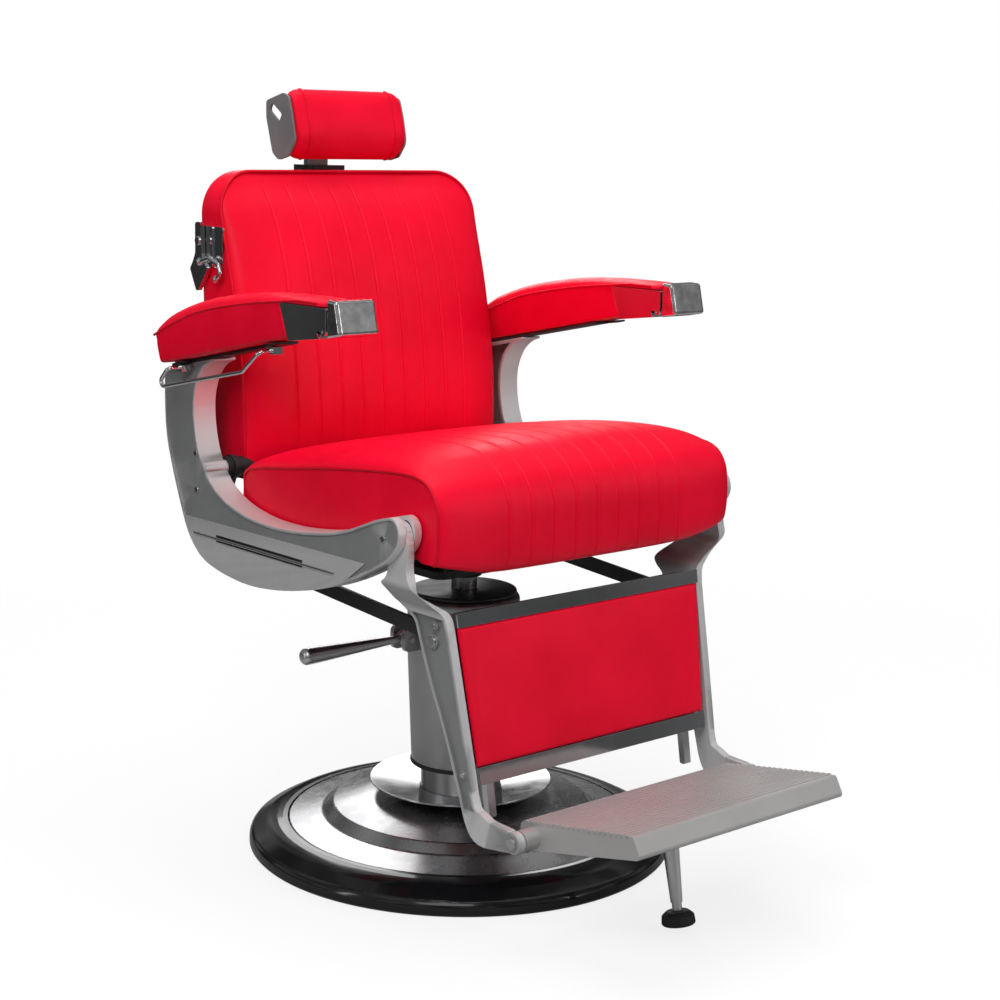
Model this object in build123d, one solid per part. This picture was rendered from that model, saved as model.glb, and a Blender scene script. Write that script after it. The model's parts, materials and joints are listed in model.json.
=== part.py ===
from build123d import *
from math import atan2, cos, degrees, radians, sin, tan
import os

# Hydraulic barber chair, in millimetres.
# Origin: on the floor at the centre of the base. +Z up, the chair faces -Y,
# and the seated person's right-hand side is -X.

# ---------------------------------------------------------------- base
RING_R = 330
RING_INNER_R = 270.5
RING_H = 41
PLATE_R = 269.5
PLATE_CROWN_Z = 84
PLATE_CROWN_R = 118
COLLAR_R = 142.4
COLLAR_RIM_Z = 102

# ---------------------------------------------------------------- pump
CYLINDER_R = 63
CYLINDER_BORE_R = 40
CYLINDER_TOP = 332
FLANGE_R = 112
BASE_BOLT_RING_R = 92
BASE_BOLT_R = 5
RAM_R = 28
RAM_SHOULDER_Z = 390
SPIGOT_R = 12
SPIGOT_TOP = 480
RUNNING = 0.08

# ---------------------------------------------------------------- column cover
COVER_BOTTOM = 134
COVER_TOP = 400
COVER_R_BOTTOM = 78
COVER_R_TOP = 87
COVER_WALL = 3
NECK_R = 20
NECK_FLANGE_R = 32
BUFFER_Z = 426

# ---------------------------------------------------------------- foot pump lever
LEVER_Y = 10
LEVER_Z = 340
LEVER_PIN_X = -108
LEVER_TIP_X = -300
LEVER_R = (6.5, 12.5)

# ---------------------------------------------------------------- reclining linkage
BACK_PIVOT = (233, 588)
LEG_PIVOT = (-207, 556)
ARM_DROP = (-24, -148.5)
PIVOT_PIN_R = 8
LINK_PIN_R = 6
LINK_X = (226, 232)
LINK_H = 22
BACK_ARM_X = (268, 276)
TUBE_R = 15

# ---------------------------------------------------------------- frame and seat
FRAME_X = (288, 325)
FRAME_WEB = 6
FRAME_RIM = 6
SHIELD_T = 2
FRAME_SCREWS = [(248, 612), (246, 556), (-212, 557)]
SEAT_HALF = 283
SKIRT_Z = 534.5
PAN_Z = 553
PAN_T = 8
BAR_Z = (536, 547)
BAR_END_Z = (513, 524)
BAR_Y = 55
BAR_W = 50
SADDLE_Z = 440
SADDLE_TOP = 535.8

# ---------------------------------------------------------------- arms
ARM_X = (289, 355)
ARM_SLOPE = 0.208
ARM_PLATE_X = (293, 329)
ARM_PLATE_T = 4
ASHTRAY_AXIS = (-113, 829)
TOWEL_X = 365
TOWEL_CLIPS = [(24, 791), (262, 742)]
TOWEL_CLIP_X = (330, 346)

# ---------------------------------------------------------------- back
BACK_HALF = 250
BACK_TOP = 1031
BACK_BOTTOM = 566
BACK_CORNER_R = 66
HANDLE_AXIS = (335, 925)

# ---------------------------------------------------------------- headrest
POST_X = 19
POST_Y = (385, 399)
HEADREST_AXIS = (392, 1098)
HEADREST_HALF = 107
HEADREST_PLATE_Y = (329, 333)

# ---------------------------------------------------------------- legrest
NECK_X = (300, 314)
LEG_T = 13
LEG_BEND_Z = 430
LEG_BEND_X = 253
LEG_SPLAY = 0.04
LEG_TILT = 10
PANEL_FOOT = (-301, 238.3)
PANEL_HALF_TOP = 237.6
PANEL_HALF_FOOT = 225.5
STRAP_X = (190, 203)

# ---------------------------------------------------------------- footrest
FOOT_PIVOT = (-392, 159)
FOOTREST_HALF = 203
FOOTREST_SIDE = [(-366, 134, 8), (-366, 176, 8), (-580, 214.4, 5), (-596, 186, 6)]
FOOT_PIN_R = 7
RIB_COUNT = 20
RIB_PITCH = 10
SUPPORT_PIVOT = (-455, 128)
SUPPORT_LEAN = 11
SUPPORT_LENGTH = 88


def link_point(pivot):
    """Centre of the link-bar pin that hangs below a linkage pivot."""
    return (pivot[0] + ARM_DROP[0], pivot[1] + ARM_DROP[1])


BACK_LINK = link_point(BACK_PIVOT)
LEG_LINK = link_point(LEG_PIVOT)


# ================================================================ helpers
def outline(corners):
    """Face in the local XY plane from (u, v, corner radius) points."""
    ends = []
    arcs = []
    for i, (u, v, *radius) in enumerate(corners):
        here = Vector(u, v)
        if not radius or radius[0] == 0:
            ends.append((here, here))
            continue
        back = (Vector(*corners[i - 1][:2]) - here).normalized()
        ahead = (Vector(*corners[(i + 1) % len(corners)][:2]) - here).normalized()
        half = radians(back.get_angle(ahead)) / 2
        start = here + back * (radius[0] / tan(half))
        end = here + ahead * (radius[0] / tan(half))
        middle = here + (back + ahead).normalized() * (radius[0] / sin(half) - radius[0])
        arcs.append(ThreePointArc(start, middle, end))
        ends.append((start, end))
    lines = []
    for i, (start, _) in enumerate(ends):
        before = ends[i - 1][1]
        if (start - before).length > 1e-6:
            lines.append(Line(before, start))
    return make_face(lines + arcs)


def flowing(points):
    """The same corners, each with a radius that fills half of its shorter edge."""
    corners = []
    for i, (u, v, *radius) in enumerate(points):
        here = Vector(u, v)
        back = Vector(*points[i - 1][:2]) - here
        ahead = Vector(*points[(i + 1) % len(points)][:2]) - here
        half = radians(back.get_angle(ahead)) / 2
        fill = 0.49 * min(back.length, ahead.length) * tan(half)
        corners.append((u, v, radius[0] if radius else fill))
    return corners


def slab(corners, x0, x1):
    """Plate with a side-view (Y, Z) outline, from x0 to x1."""
    face = Plane.YZ.offset(x0) * outline(corners)
    return extrude(face, amount=x1 - x0, dir=(1, 0, 0))


def turned(corners):
    """Solid of revolution about Z from (radius, height, corner radius) points."""
    return revolve(Plane.XZ * outline(corners), Axis.Z)


def rod_x(centre, radius, x0, x1):
    """Round bar along X through the (Y, Z) centre."""
    circle = Plane.YZ.offset(x0) * Pos(*centre) * Circle(radius)
    return extrude(circle, amount=x1 - x0, dir=(1, 0, 0))


def block(x, y, z):
    """Box between two values on each axis."""
    size = (x[1] - x[0], y[1] - y[0], z[1] - z[0])
    middle = (sum(x) / 2, sum(y) / 2, sum(z) / 2)
    return Pos(*middle) * Box(*size)


def other_side(shape):
    """The same piece on the right-hand (-X) side."""
    return mirror(shape, Plane.YZ)


def pair(shape):
    """A group of two solids, one on each side."""
    return Compound(children=[shape.solid(), other_side(shape).solid()])


def around_z(shape, count, start=0):
    """A group of equal solids spaced around the Z axis."""
    angles = [start + 360 / count * i for i in range(count)]
    return Compound(children=[(Rot(0, 0, a) * shape).solid() for a in angles])


def rounded(shape, radius, edges=None):
    """The shape with its edges (or the given ones) rounded."""
    return fillet(edges if edges is not None else shape.edges(), radius)


def tube_path(points, bend, radius):
    """Round bar along a bent path."""
    path = FilletPolyline(*points, radius=bend)
    end = Plane(origin=path @ 0, z_dir=path % 0)
    return sweep(end * Circle(radius), path=path)


def bolt_down(x, y, head_z, head_r, head_h, shank_r, shank_z):
    """Hex bolt on a vertical axis, its head between head_z and head_z + head_h."""
    head = Pos(x, y, head_z) * extrude(RegularPolygon(head_r, 6), amount=head_h)
    low, high = min(shank_z, head_z), max(shank_z, head_z + head_h)
    shank = Pos(x, y, low) * extrude(Circle(shank_r), amount=high - low)
    return head + shank


# ================================================================ base
def base_ring():
    return turned([(RING_INNER_R, 0), (326, 0, 3), (RING_R, 4, 2), (RING_R, 20, 14),
                   (296, 38, 60), (278, RING_H, 4), (RING_INNER_R, RING_H, 0)])


def base_plate():
    crown = PLATE_CROWN_Z
    plate = turned([(262, 1), (PLATE_R, 1), (PLATE_R, 40, 3), (216, 50, 8), (200, 64, 7),
                    (150, 77, 80), (PLATE_CROWN_R, crown, 30), (CYLINDER_R + 1.2, crown),
                    (CYLINDER_R + 1.2, crown - 10), (FLANGE_R + 2, crown - 10, 6),
                    (150, 69, 60), (193, 57, 6), (209, 43, 8), (262, 33, 3)])
    hole = Pos(BASE_BOLT_RING_R, 0, 70) * extrude(Circle(BASE_BOLT_R + 0.3), amount=12)
    for angle in range(45, 405, 90):
        plate -= Rot(0, 0, angle) * hole
    return plate


def pump_cylinder():
    body = turned([(0, 0), (CYLINDER_R, 0), (CYLINDER_R, 62), (FLANGE_R, 62, 2),
                   (FLANGE_R, 73.8, 2), (CYLINDER_R, 73.8), (CYLINDER_R, CYLINDER_TOP),
                   (CYLINDER_BORE_R, CYLINDER_TOP), (CYLINDER_BORE_R, 44), (0, 44)])
    hole = Pos(BASE_BOLT_RING_R, 0, 60) * extrude(Circle(BASE_BOLT_R + 0.4), amount=16)
    for angle in range(45, 405, 90):
        body -= Rot(0, 0, angle) * hole
    return body


def base_bolts():
    bolt = bolt_down(BASE_BOLT_RING_R, 0, 54, 9, 7.8, BASE_BOLT_R, 81)
    return around_z(bolt, 4, 45)


def collar_dish():
    """Thin cone that rises outwards around the foot of the cylinder."""
    hub = CYLINDER_R + 1.2
    return turned([(hub, 85.2), (COLLAR_R, COLLAR_RIM_Z - 3, 1),
                   (COLLAR_R, COLLAR_RIM_Z, 1), (hub, 88)])


def cylinder_gland():
    inner = RAM_R + RUNNING
    outer = CYLINDER_BORE_R - 0.1
    return turned([(inner, 300), (outer, 300, 1), (outer, CYLINDER_TOP + 0.2),
                   (CYLINDER_R - 1, CYLINDER_TOP + 0.2), (CYLINDER_R - 1, 340, 3),
                   (inner, 340)])


# ================================================================ lift
def ram():
    """Ram with its grooved piston below and the seat's swivel spigot on top."""
    rim = CYLINDER_BORE_R - RUNNING
    groove = rim - 4
    return turned([(0, 60), (rim, 60, 1), (rim, 70), (groove, 70), (groove, 76), (rim, 76),
                   (rim, 86, 1), (RAM_R, 86), (RAM_R, RAM_SHOULDER_Z, 2),
                   (SPIGOT_R, RAM_SHOULDER_Z), (SPIGOT_R, SPIGOT_TOP, 1), (0, SPIGOT_TOP)])


# ================================================================ column cover
def column_cover():
    inner_low = COVER_R_BOTTOM - COVER_WALL
    inner_top = COVER_R_TOP - COVER_WALL
    roof = COVER_TOP - COVER_WALL
    hole = NECK_R + 0.3
    return turned([(inner_low, COVER_BOTTOM), (COVER_R_BOTTOM, COVER_BOTTOM, 1),
                   (COVER_R_TOP, 325, 300), (COVER_R_TOP, COVER_TOP, 10),
                   (hole, COVER_TOP), (hole, roof), (inner_top, roof, 7),
                   (inner_top, 325, 300)])


def cover_lip():
    low = COVER_BOTTOM - 6
    top = COVER_BOTTOM - 0.1
    return turned([(CYLINDER_R + 9, low, 1), (COVER_R_BOTTOM + 2, low, 2),
                   (COVER_R_BOTTOM + 2, top, 1.5), (CYLINDER_R + 9, top)])


def cover_cap():
    low = COVER_TOP + 0.2
    rim = COVER_R_TOP - 5
    hole = NECK_R + 0.3
    return turned([(hole, low), (rim, low, 0.5), (rim, low + 4.8, 2),
                   (40, low + 6.3, 60), (hole, low + 6.3)])


def neck_tube():
    """Flanged tube around the spigot; it clamps the cover up to the saddle."""
    bore = SPIGOT_R + 0.4
    low = RAM_SHOULDER_Z + 0.3
    flange = COVER_TOP - COVER_WALL - 0.2
    top = BUFFER_Z - 0.2
    return turned([(bore, low), (NECK_FLANGE_R, low, 1), (NECK_FLANGE_R, flange, 1),
                   (NECK_R, flange), (NECK_R, top), (bore, top)])


def lever_bracket():
    """Ears and a curved foot that hugs the cover, with a slot for the lever's eye."""
    low, high = LEVER_Z - 20, LEVER_Z + 20
    wrap = Pos(0, 0, low) * extrude(Circle(COVER_R_TOP + 5.5), amount=high - low)
    foot = wrap & block((-100, -60), (LEVER_Y - 42, LEVER_Y + 42), (low, high))
    ears = block((LEVER_PIN_X - 14, -70), (LEVER_Y - 18, LEVER_Y + 18), (low + 2, high - 2))
    ears = rounded(ears, 9, ears.edges().filter_by(Axis.Y).group_by(Axis.X)[0])
    slot = block((LEVER_PIN_X - 20, -90), (LEVER_Y - 10, LEVER_Y + 10), (low - 1, high + 1))
    bore = Pos(0, 0, low - 1) * extrude(Circle(COVER_R_TOP + 0.4), amount=high - low + 2)
    pin_plane = Plane.XZ.offset(-LEVER_Y - 20)
    pin_hole = extrude(pin_plane * Pos(LEVER_PIN_X, LEVER_Z) * Circle(5.05), amount=40)
    bracket = foot + (ears - slot) - bore - pin_hole
    for y in (LEVER_Y - 32, LEVER_Y + 32):
        bracket -= Plane.YZ.offset(-110) * Pos(y, LEVER_Z) * Cylinder(3.3, 100)
    return bracket


def lever_bracket_bolts():
    """Two domed bolts through the bracket's foot."""
    bolts = []
    for y in (LEVER_Y - 32, LEVER_Y + 32):
        face_x = -((COVER_R_TOP + 5.5) ** 2 - (abs(y) - 7) ** 2) ** 0.5
        skin_x = -((COVER_R_TOP + 0.5) ** 2 - (abs(y) - 3) ** 2) ** 0.5
        head = rod_x((y, LEVER_Z), 6.5, face_x - 6, face_x - 0.3)
        head = rounded(head, 2.5, head.edges().group_by(Axis.X)[0])
        shank = rod_x((y, LEVER_Z), 3, face_x - 4, skin_x - 0.3)
        bolts.append((head + shank).solid())
    return Compound(children=bolts)


def lever_pin():
    plane = Plane.XZ.offset(-LEVER_Y - 20)
    pin = extrude(plane * Pos(LEVER_PIN_X, LEVER_Z) * Circle(5), amount=40)
    return rounded(pin, 1)


def pump_lever():
    """Round handle with a forged eye; it lies along -X and thickens to its tip."""
    eye_plane = Plane.XZ.offset(-LEVER_Y - 8)
    eye = extrude(eye_plane * Pos(LEVER_PIN_X, LEVER_Z) * Circle(12), amount=16)
    thin, thick = LEVER_R
    length = LEVER_PIN_X - 8 - LEVER_TIP_X
    profile = outline([(0, 0), (thin, 0), (thin, 24, 60), (thick, length - 24, 60),
                       (thick, length, 9), (0, length)])
    bar = revolve(Plane.XZ * profile, Axis.Z)
    bar = Pos(LEVER_PIN_X - 8, LEVER_Y, LEVER_Z) * Rot(0, -90, 0) * bar
    cut = Plane.XZ.offset(-LEVER_Y) * Pos(LEVER_PIN_X, LEVER_Z) * Cylinder(5 + RUNNING, 60)
    clear = block((LEVER_PIN_X + 13, -60), (-40, 60), (LEVER_Z - 30, LEVER_Z + 30))
    return (eye + bar) - cut - clear


# ================================================================ seat frame
def cross_bars():
    """Two flat bars under the seat, their ends cranked down to the side frames."""
    (low, high), (end_low, end_high) = BAR_Z, BAR_END_Z
    reach = FRAME_X[1] - FRAME_WEB - 0.3
    half = [(reach, end_low), (reach, end_high), (251, end_high), (240, high)]
    half_under = [(236, low), (250, end_low)]
    profile = outline([(-x, z) for x, z in half] + [(x, z) for x, z in reversed(half)]
                      + [(x, z) for x, z in reversed(half_under)]
                      + [(-x, z) for x, z in half_under])
    bars = []
    for y in (-BAR_Y, BAR_Y):
        bar = extrude(Plane.XZ.offset(-y - BAR_W / 2) * profile, amount=BAR_W)
        for x in (-70, 70):
            bar -= Pos(x, y, low) * Cylinder(5.3, 40)
        bars.append(bar.solid())
    return Compound(children=bars)


def saddle_bracket():
    """Welded bracket that carries the cross bars on the ram's spigot."""
    depth = BAR_Y + BAR_W / 2
    floor = block((-100, 100), (-60, 60), (SADDLE_Z, SADDLE_Z + 12))
    floor = rounded(floor, 20, floor.edges().filter_by(Axis.Z))
    roof = block((-100, 100), (-depth, depth), (SADDLE_TOP - 8, SADDLE_TOP))
    side = slab([(-56, SADDLE_Z), (56, SADDLE_Z), (depth - 4, SADDLE_TOP - 12),
                 (depth - 4, SADDLE_TOP), (-depth + 4, SADDLE_TOP),
                 (-depth + 4, SADDLE_TOP - 12)], 82, 90)
    hub = Pos(0, 0, SADDLE_Z) * extrude(Circle(32), amount=60)
    bore = Pos(0, 0, SADDLE_Z - 1) * extrude(Circle(SPIGOT_R + RUNNING), amount=41.1)
    opening = block((-82, 82), (-28, 28), (SADDLE_TOP - 20, SADDLE_TOP + 1))
    saddle = floor + roof + side + other_side(side) + hub - bore - opening
    for x in (-70, 70):
        for y in (-BAR_Y, BAR_Y):
            saddle -= Pos(x, y, SADDLE_TOP) * Cylinder(5.3, 30)
    return saddle


def saddle_bolts():
    bolts = []
    for x in (-70, 70):
        for y in (-BAR_Y, BAR_Y):
            bolt = bolt_down(x, y, BAR_Z[1] + 0.1, 8.5, 5.4, 5, SADDLE_TOP - 14)
            bolts.append(bolt.solid())
    return Compound(children=bolts)


def seat_buffer():
    bore = SPIGOT_R + 0.4
    return turned([(bore, BUFFER_Z), (27.5, BUFFER_Z, 3), (27.5, SADDLE_Z - 0.2, 1),
                   (bore, SADDLE_Z - 0.2)])


def seat_pan():
    pan = block((-250, 250), (-245, 178), (PAN_Z, PAN_Z + PAN_T))
    return rounded(pan, 30, pan.edges().filter_by(Axis.Z))


def seat_cushion():
    """Cushion with a nose over the front, and skirts and rear lobes beside the pan."""
    floor = PAN_Z + PAN_T + 0.3
    side = [(199, floor - 6, 6), (199, 606, 24), (-30, 648, 300), (-205, 663, 80),
            (-283, 634, 30), (-290, 580, 60), (-289, 510, 10), (-264, 508, 8),
            (-254, SKIRT_Z, 4), (166, SKIRT_Z, 6)]
    body = slab(side, -SEAT_HALF, SEAT_HALF)
    plan = outline([(-SEAT_HALF, 195, 22), (-SEAT_HALF, -278, 14), (-150, -291, 200),
                    (150, -291, 200), (SEAT_HALF, -278, 14), (SEAT_HALF, 195, 22),
                    (254, 195), (252, 188), (-252, 188), (-254, 195)])
    body &= extrude(Pos(0, 0, 480) * plan, amount=220)
    body -= block((-252, 252), (-247, 200), (SKIRT_Z - 10, floor))
    corner = outline([(190, 500), (SEAT_HALF + 10, 500), (SEAT_HALF + 10, 522)])
    corner = extrude(Plane.XZ.offset(248) * corner, amount=60)
    return body - corner - other_side(corner)


FRAME_CORNERS = flowing([
    (332, 732, 2), (333, 690), (330, 630), (306, 562), (272, 487), (236, 453),
    (186, 440), (110, 432), (22, 440), (-70, 460), (-127, 480), (-190, 509),
    (-228, 530), (-252, 560), (-240, 592), (-202, 583), (-126, 553), (-62, 540),
    (20, 531), (98, 533), (161, 546), (207, 569), (237, 606), (252, 655), (252, 706),
    (226, 748), (150, 770.5, 2)])
SHIELD_CORNERS = [(300, 512), (-173, 516), (-119, 476), (-119, 400), (300, 400)]


def side_frame():
    """Cast C-shaped frame of the left side: web, rim, raised border and shield."""
    inner, outer = FRAME_X
    web = slab(FRAME_CORNERS, outer - FRAME_WEB, outer)
    shape = outline(FRAME_CORNERS)
    field = offset(shape, amount=-4, kind=Kind.INTERSECTION)
    within_rim = offset(shape, amount=-FRAME_RIM, kind=Kind.INTERSECTION)
    rim = extrude(Plane.YZ.offset(inner) * (shape - within_rim), amount=outer - inner,
                  dir=(1, 0, 0))
    lip = extrude(Plane.YZ.offset(outer) * (shape - field), amount=2, dir=(1, 0, 0))
    shield = extrude(Plane.YZ.offset(outer - 1) * field, amount=1 + SHIELD_T, dir=(1, 0, 0))
    shield &= slab(SHIELD_CORNERS, outer - 2, outer + 3)
    frame = web + rim + lip + shield
    slot = (NECK_X[0] - 0.6, NECK_X[1] + 0.6)
    frame -= rod_x(LEG_PIVOT, 44.4, *slot) & block(slot, (-260, -176), (500, 620))
    frame -= slab([(-300, 600), (-300, 430), (-140, 430), (-140, 505, 20), (-190, 560)], *slot)
    frame += rod_x(BACK_PIVOT, 12, 284.5, outer - 1)
    frame += rod_x(LEG_PIVOT, 20, NECK_X[1] + 0.4, outer - 1)
    frame -= rod_x(BACK_PIVOT, PIVOT_PIN_R + 0.05, 280, 316)
    frame -= rod_x(LEG_PIVOT, PIVOT_PIN_R + 0.05, 280, 321)
    for y, z in FRAME_SCREWS:
        frame -= rod_x((y, z), 2.6, outer - 4, outer + 4)
    return frame


def frame_screws():
    """Round-headed screws on the outer faces of both frames."""
    screws = []
    face = FRAME_X[1]
    for y, z in FRAME_SCREWS:
        head = rod_x((y, z), 5, face + 0.1, face + 2.6)
        head = rounded(head, 1.2, head.edges().group_by(Axis.X)[-1])
        screw = head + rod_x((y, z), 2.5, face - 3.8, face + 1)
        screws += [screw.solid(), other_side(screw).solid()]
    return Compound(children=screws)


def frame_trim_strips():
    """Thin moulding along the shield with a wider plain bar in its middle."""
    face = FRAME_X[1] + SHIELD_T + 0.1
    strip = block((face, face + 2.4), (-105, 252), (488.2, 491.8))
    strip = rounded(strip, 1.1, strip.edges().group_by(Axis.X)[-1])
    strip += block((face, face + 1.6), (-30, 190), (485, 496))
    return pair(strip)


def frame_pivot_pins():
    """Pins in the side frames: two carry the back arms, two carry the leg necks."""
    back_pin = rod_x(BACK_PIVOT, PIVOT_PIN_R, BACK_ARM_X[0] + 1, 315.8)
    leg_pin = rod_x(LEG_PIVOT, PIVOT_PIN_R, 286, 320.6) + rod_x(LEG_PIVOT, 13, 284, 289.5)
    pins = []
    for pin in (back_pin, leg_pin):
        pins += [pin.solid(), other_side(pin).solid()]
    return Compound(children=pins)


def pivot_washers():
    """Black washers between the back arms and the side frames."""
    washer = rod_x(BACK_PIVOT, 16.5, BACK_ARM_X[1] + 0.4, 284.2)
    washer -= rod_x(BACK_PIVOT, PIVOT_PIN_R + 0.1, 270, 290)
    return pair(washer)


# ================================================================ arms
def arm_underside(y):
    """Height of the arm pad's underside at a given Y."""
    return 744 - (y - 302) * ARM_SLOPE


def sloped_strip(y0, y1, top, x0, x1):
    """Strip under the arm pad between two Y values, its top that far below the pad."""
    low = -ARM_PLATE_T - 0.3
    corners = [(y, arm_underside(y) + dz) for y, dz in
               ((y1, -top), (y1, low), (y0, low), (y0, -top))]
    return slab(corners, x0, x1)


def arm_plate():
    """Flat bar under the arm pad with two tabs on its outer edge."""
    plate = sloped_strip(30, 308, 0.3, *ARM_PLATE_X)
    for y, _ in TOWEL_CLIPS:
        plate += sloped_strip(y - 9, y + 9, 1.3, ARM_PLATE_X[1] - 9, TOWEL_CLIP_X[1] + 1)
    return plate


def arm_pad():
    """Moulded pad; a thin tongue of it runs forward over the metal end."""
    return slab([(30, arm_underside(30), 60), (303, arm_underside(303), 9), (320, 786, 14),
                 (331, 806, 12), (266, 832, 60), (164, 856, 200), (44, 870, 200),
                 (-112, 871, 4), (-112, 861.2, 3), (-9, 861.2, 1), (-30, 811, 3)], *ARM_X)


def arm_end():
    """Metal housing at the front of the arm, hollow for the ashtray."""
    inner, outer = ARM_X
    shell = slab([(-31.5, 809.5), (-11, 860.8), (-119, 860.8, 2), (-119, 820.5)], *ARM_X)
    shell -= slab([(-130, 815), (-130, 857.6), (-81, 857.6, 12), (-81, 824, 6),
                   (-98, 824), (-98, 815)], inner + 4, outer - 4)
    swing = rod_x(ASHTRAY_AXIS, 13.2, inner - 1, outer + 1)
    swing &= block((inner - 1, outer + 1), (-140, -90), (800, ASHTRAY_AXIS[1]))
    lug = rod_x(ASHTRAY_AXIS, 6, inner, inner + 4) + rod_x(ASHTRAY_AXIS, 6, outer - 4, outer)
    return shell - swing + lug - rod_x(ASHTRAY_AXIS, 2.55, inner - 1, outer + 1)


def ashtray():
    """Tilting front with a tray behind it; it swings forward about its foot."""
    inner, outer = ARM_X
    front = slab([(-121, 873, 3), (-142, 872, 5), (-153, 826, 5), (-121, 820, 1)],
                 inner - 0.5, outer + 1)
    front = rounded(front, 5, front.faces().sort_by(Axis.Y)[0].edges().filter_by(
        lambda e: abs((e % 0.5).X) < 0.3))
    tub = slab([(-122, 832), (-122, 855), (-96, 849, 6), (-87, 834, 3)], inner + 8, outer - 8)
    hole = slab([(-119.5, 835), (-119.5, 860), (-104.9, 860), (-89.9, 835, 3)],
                inner + 10, outer - 10)
    ears = slab([(-124, 823.5), (-124, 834), (-113, 834, 5), (-107.5, 829, 5), (-113, 823.5, 5)],
                inner + 8, outer - 8)
    tray = front + (tub - hole) + ears
    return tray - rod_x(ASHTRAY_AXIS, 2.5 + RUNNING, inner, outer)


def ashtray_pins():
    pin = rod_x(ASHTRAY_AXIS, 2.5, ARM_X[0] + 0.5, ARM_X[1] - 0.5)
    return pair(pin)


def towel_rail():
    """Bent rod outside the right arm, welded to a clip at each end."""
    x = -TOWEL_X
    (front_y, front_z), (rear_y, rear_z) = TOWEL_CLIPS
    rail = tube_path([(-338, front_y, front_z), (x, front_y, front_z - 3), (x, 65, 757),
                      (x, 296, 709), (x, rear_y, rear_z), (-338, rear_y, rear_z)], 7, 3)
    low, high = TOWEL_CLIP_X
    for y, z in TOWEL_CLIPS:
        top = arm_underside(y) - ARM_PLATE_T - 2.5
        rail += block((-high, -low), (y - 8, y + 8), (z - 6, min(top, z + 8)))
    return rail


# ================================================================ back
PARTING = [(229, BACK_BOTTOM), (229, 614, 60), (235, 710, 260), (257, 835, 260),
           (289, 950, 90)]


def back_front_outline():
    """Front view of the back: straight sides and large top corners."""
    half = BACK_HALF
    low = BACK_BOTTOM - 30
    return outline([(-half, low), (half, low), (half, BACK_TOP, BACK_CORNER_R),
                    (-half, BACK_TOP, BACK_CORNER_R)])


def trimmed_to_back(shape, inset=0):
    mask = back_front_outline()
    if inset:
        mask = offset(mask, amount=-inset)
    return shape & extrude(Plane.XZ.offset(-420) * mask, amount=300)


def back_cushion():
    """Front cushion, grooved at its foot for the torque tube."""
    side = [(204, BACK_BOTTOM, 12), (204, 722, 260), (223, 852, 160), (262, 956, 90),
            (300, BACK_TOP, 14), (322, BACK_TOP, 3), *reversed(PARTING)]
    cushion = trimmed_to_back(slab(side, -BACK_HALF, BACK_HALF))
    return cushion - rod_x(BACK_PIVOT, TUBE_R + 0.4, -300, 300)


def back_shell():
    """Upholstered side walls and rear face, open at the bottom."""
    front = [(y + 0.3, z, *radius) for y, z, *radius in PARTING]
    side = [*front, (322.3, BACK_TOP), (346, BACK_TOP, 10), (354, 1006, 40),
            (350, 829, 400), (332, 681, 200), (306, BACK_BOTTOM, 10)]
    room = [(200, 530), (200, 1090), (338, 1019, 8), (344, 1000, 30), (340, 829, 400),
            (322, 684, 200), (290, 530)]
    outer = trimmed_to_back(slab(side, -BACK_HALF, BACK_HALF))
    inner = trimmed_to_back(slab(room, -BACK_HALF, BACK_HALF), 11)
    return outer - inner - rod_x(BACK_PIVOT, TUBE_R + 0.4, -300, 300)


def back_arm():
    """Hanging arm of the left side; it clears the seat's rear edge as it swings."""
    y, z = BACK_PIVOT
    ly, lz = BACK_LINK
    curve = slab([(y - 14, z + 10), (y + 19, z + 6, 10), (y + 38, z - 74, 60),
                  (y + 24, z - 122, 40), (ly + 6, lz - 9, 4), (ly - 6, lz + 8, 4),
                  (y + 8, z - 104, 50), (y + 16, z - 70, 50), (y - 8, z - 16, 10)],
                 *BACK_ARM_X)
    arm = curve + rod_x(BACK_PIVOT, 19, *BACK_ARM_X) + rod_x(BACK_LINK, 11, *BACK_ARM_X)
    arm -= rod_x(BACK_PIVOT, PIVOT_PIN_R + RUNNING, 260, 280)
    return arm - rod_x(BACK_LINK, LINK_PIN_R + 0.05, 260, 280)


def back_frame():
    """Welded frame: hanging arms, torque tube and two uprights inside the back."""
    arm = back_arm()
    tube = rod_x(BACK_PIVOT, TUBE_R, -BACK_ARM_X[0] - 1, BACK_ARM_X[0] + 1)
    tube -= rod_x(BACK_PIVOT, 11, -280, 280)
    bar = slab([(226, 590), (262, 590, 10), (266, 700, 200), (290, 835, 200), (318, 960),
                (309, 962), (281, 836, 200), (254, 710, 200), (243, 606.5, 20)], 130, 170)
    bar -= rod_x(BACK_PIVOT, 13, 120, 180)
    return arm + other_side(arm) + tube + bar + other_side(bar)


def handle_plate():
    """Plate on the back's right side with the riveted pin of the handle."""
    x = BACK_HALF + 0.3
    plate = slab([(353, 948, 8), (281, 947, 4), (282, 884, 4), (353, 888, 8)], x, x + 1.4)
    plate += slab([(353, 948, 8), (311, 948, 4), (311, 886, 4), (353, 888, 8)], x, x + 3.7)
    plate += slab([(301, 948, 4), (281, 947, 4), (282, 884, 4), (301, 885, 4)], x, x + 3.7)
    head = rod_x(HANDLE_AXIS, 7, x + 12, x + 15.7)
    head = rounded(head, 1.5, head.edges().group_by(Axis.X)[-1])
    return other_side(plate + head + rod_x(HANDLE_AXIS, 4, x + 0.7, x + 12.7))


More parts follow.
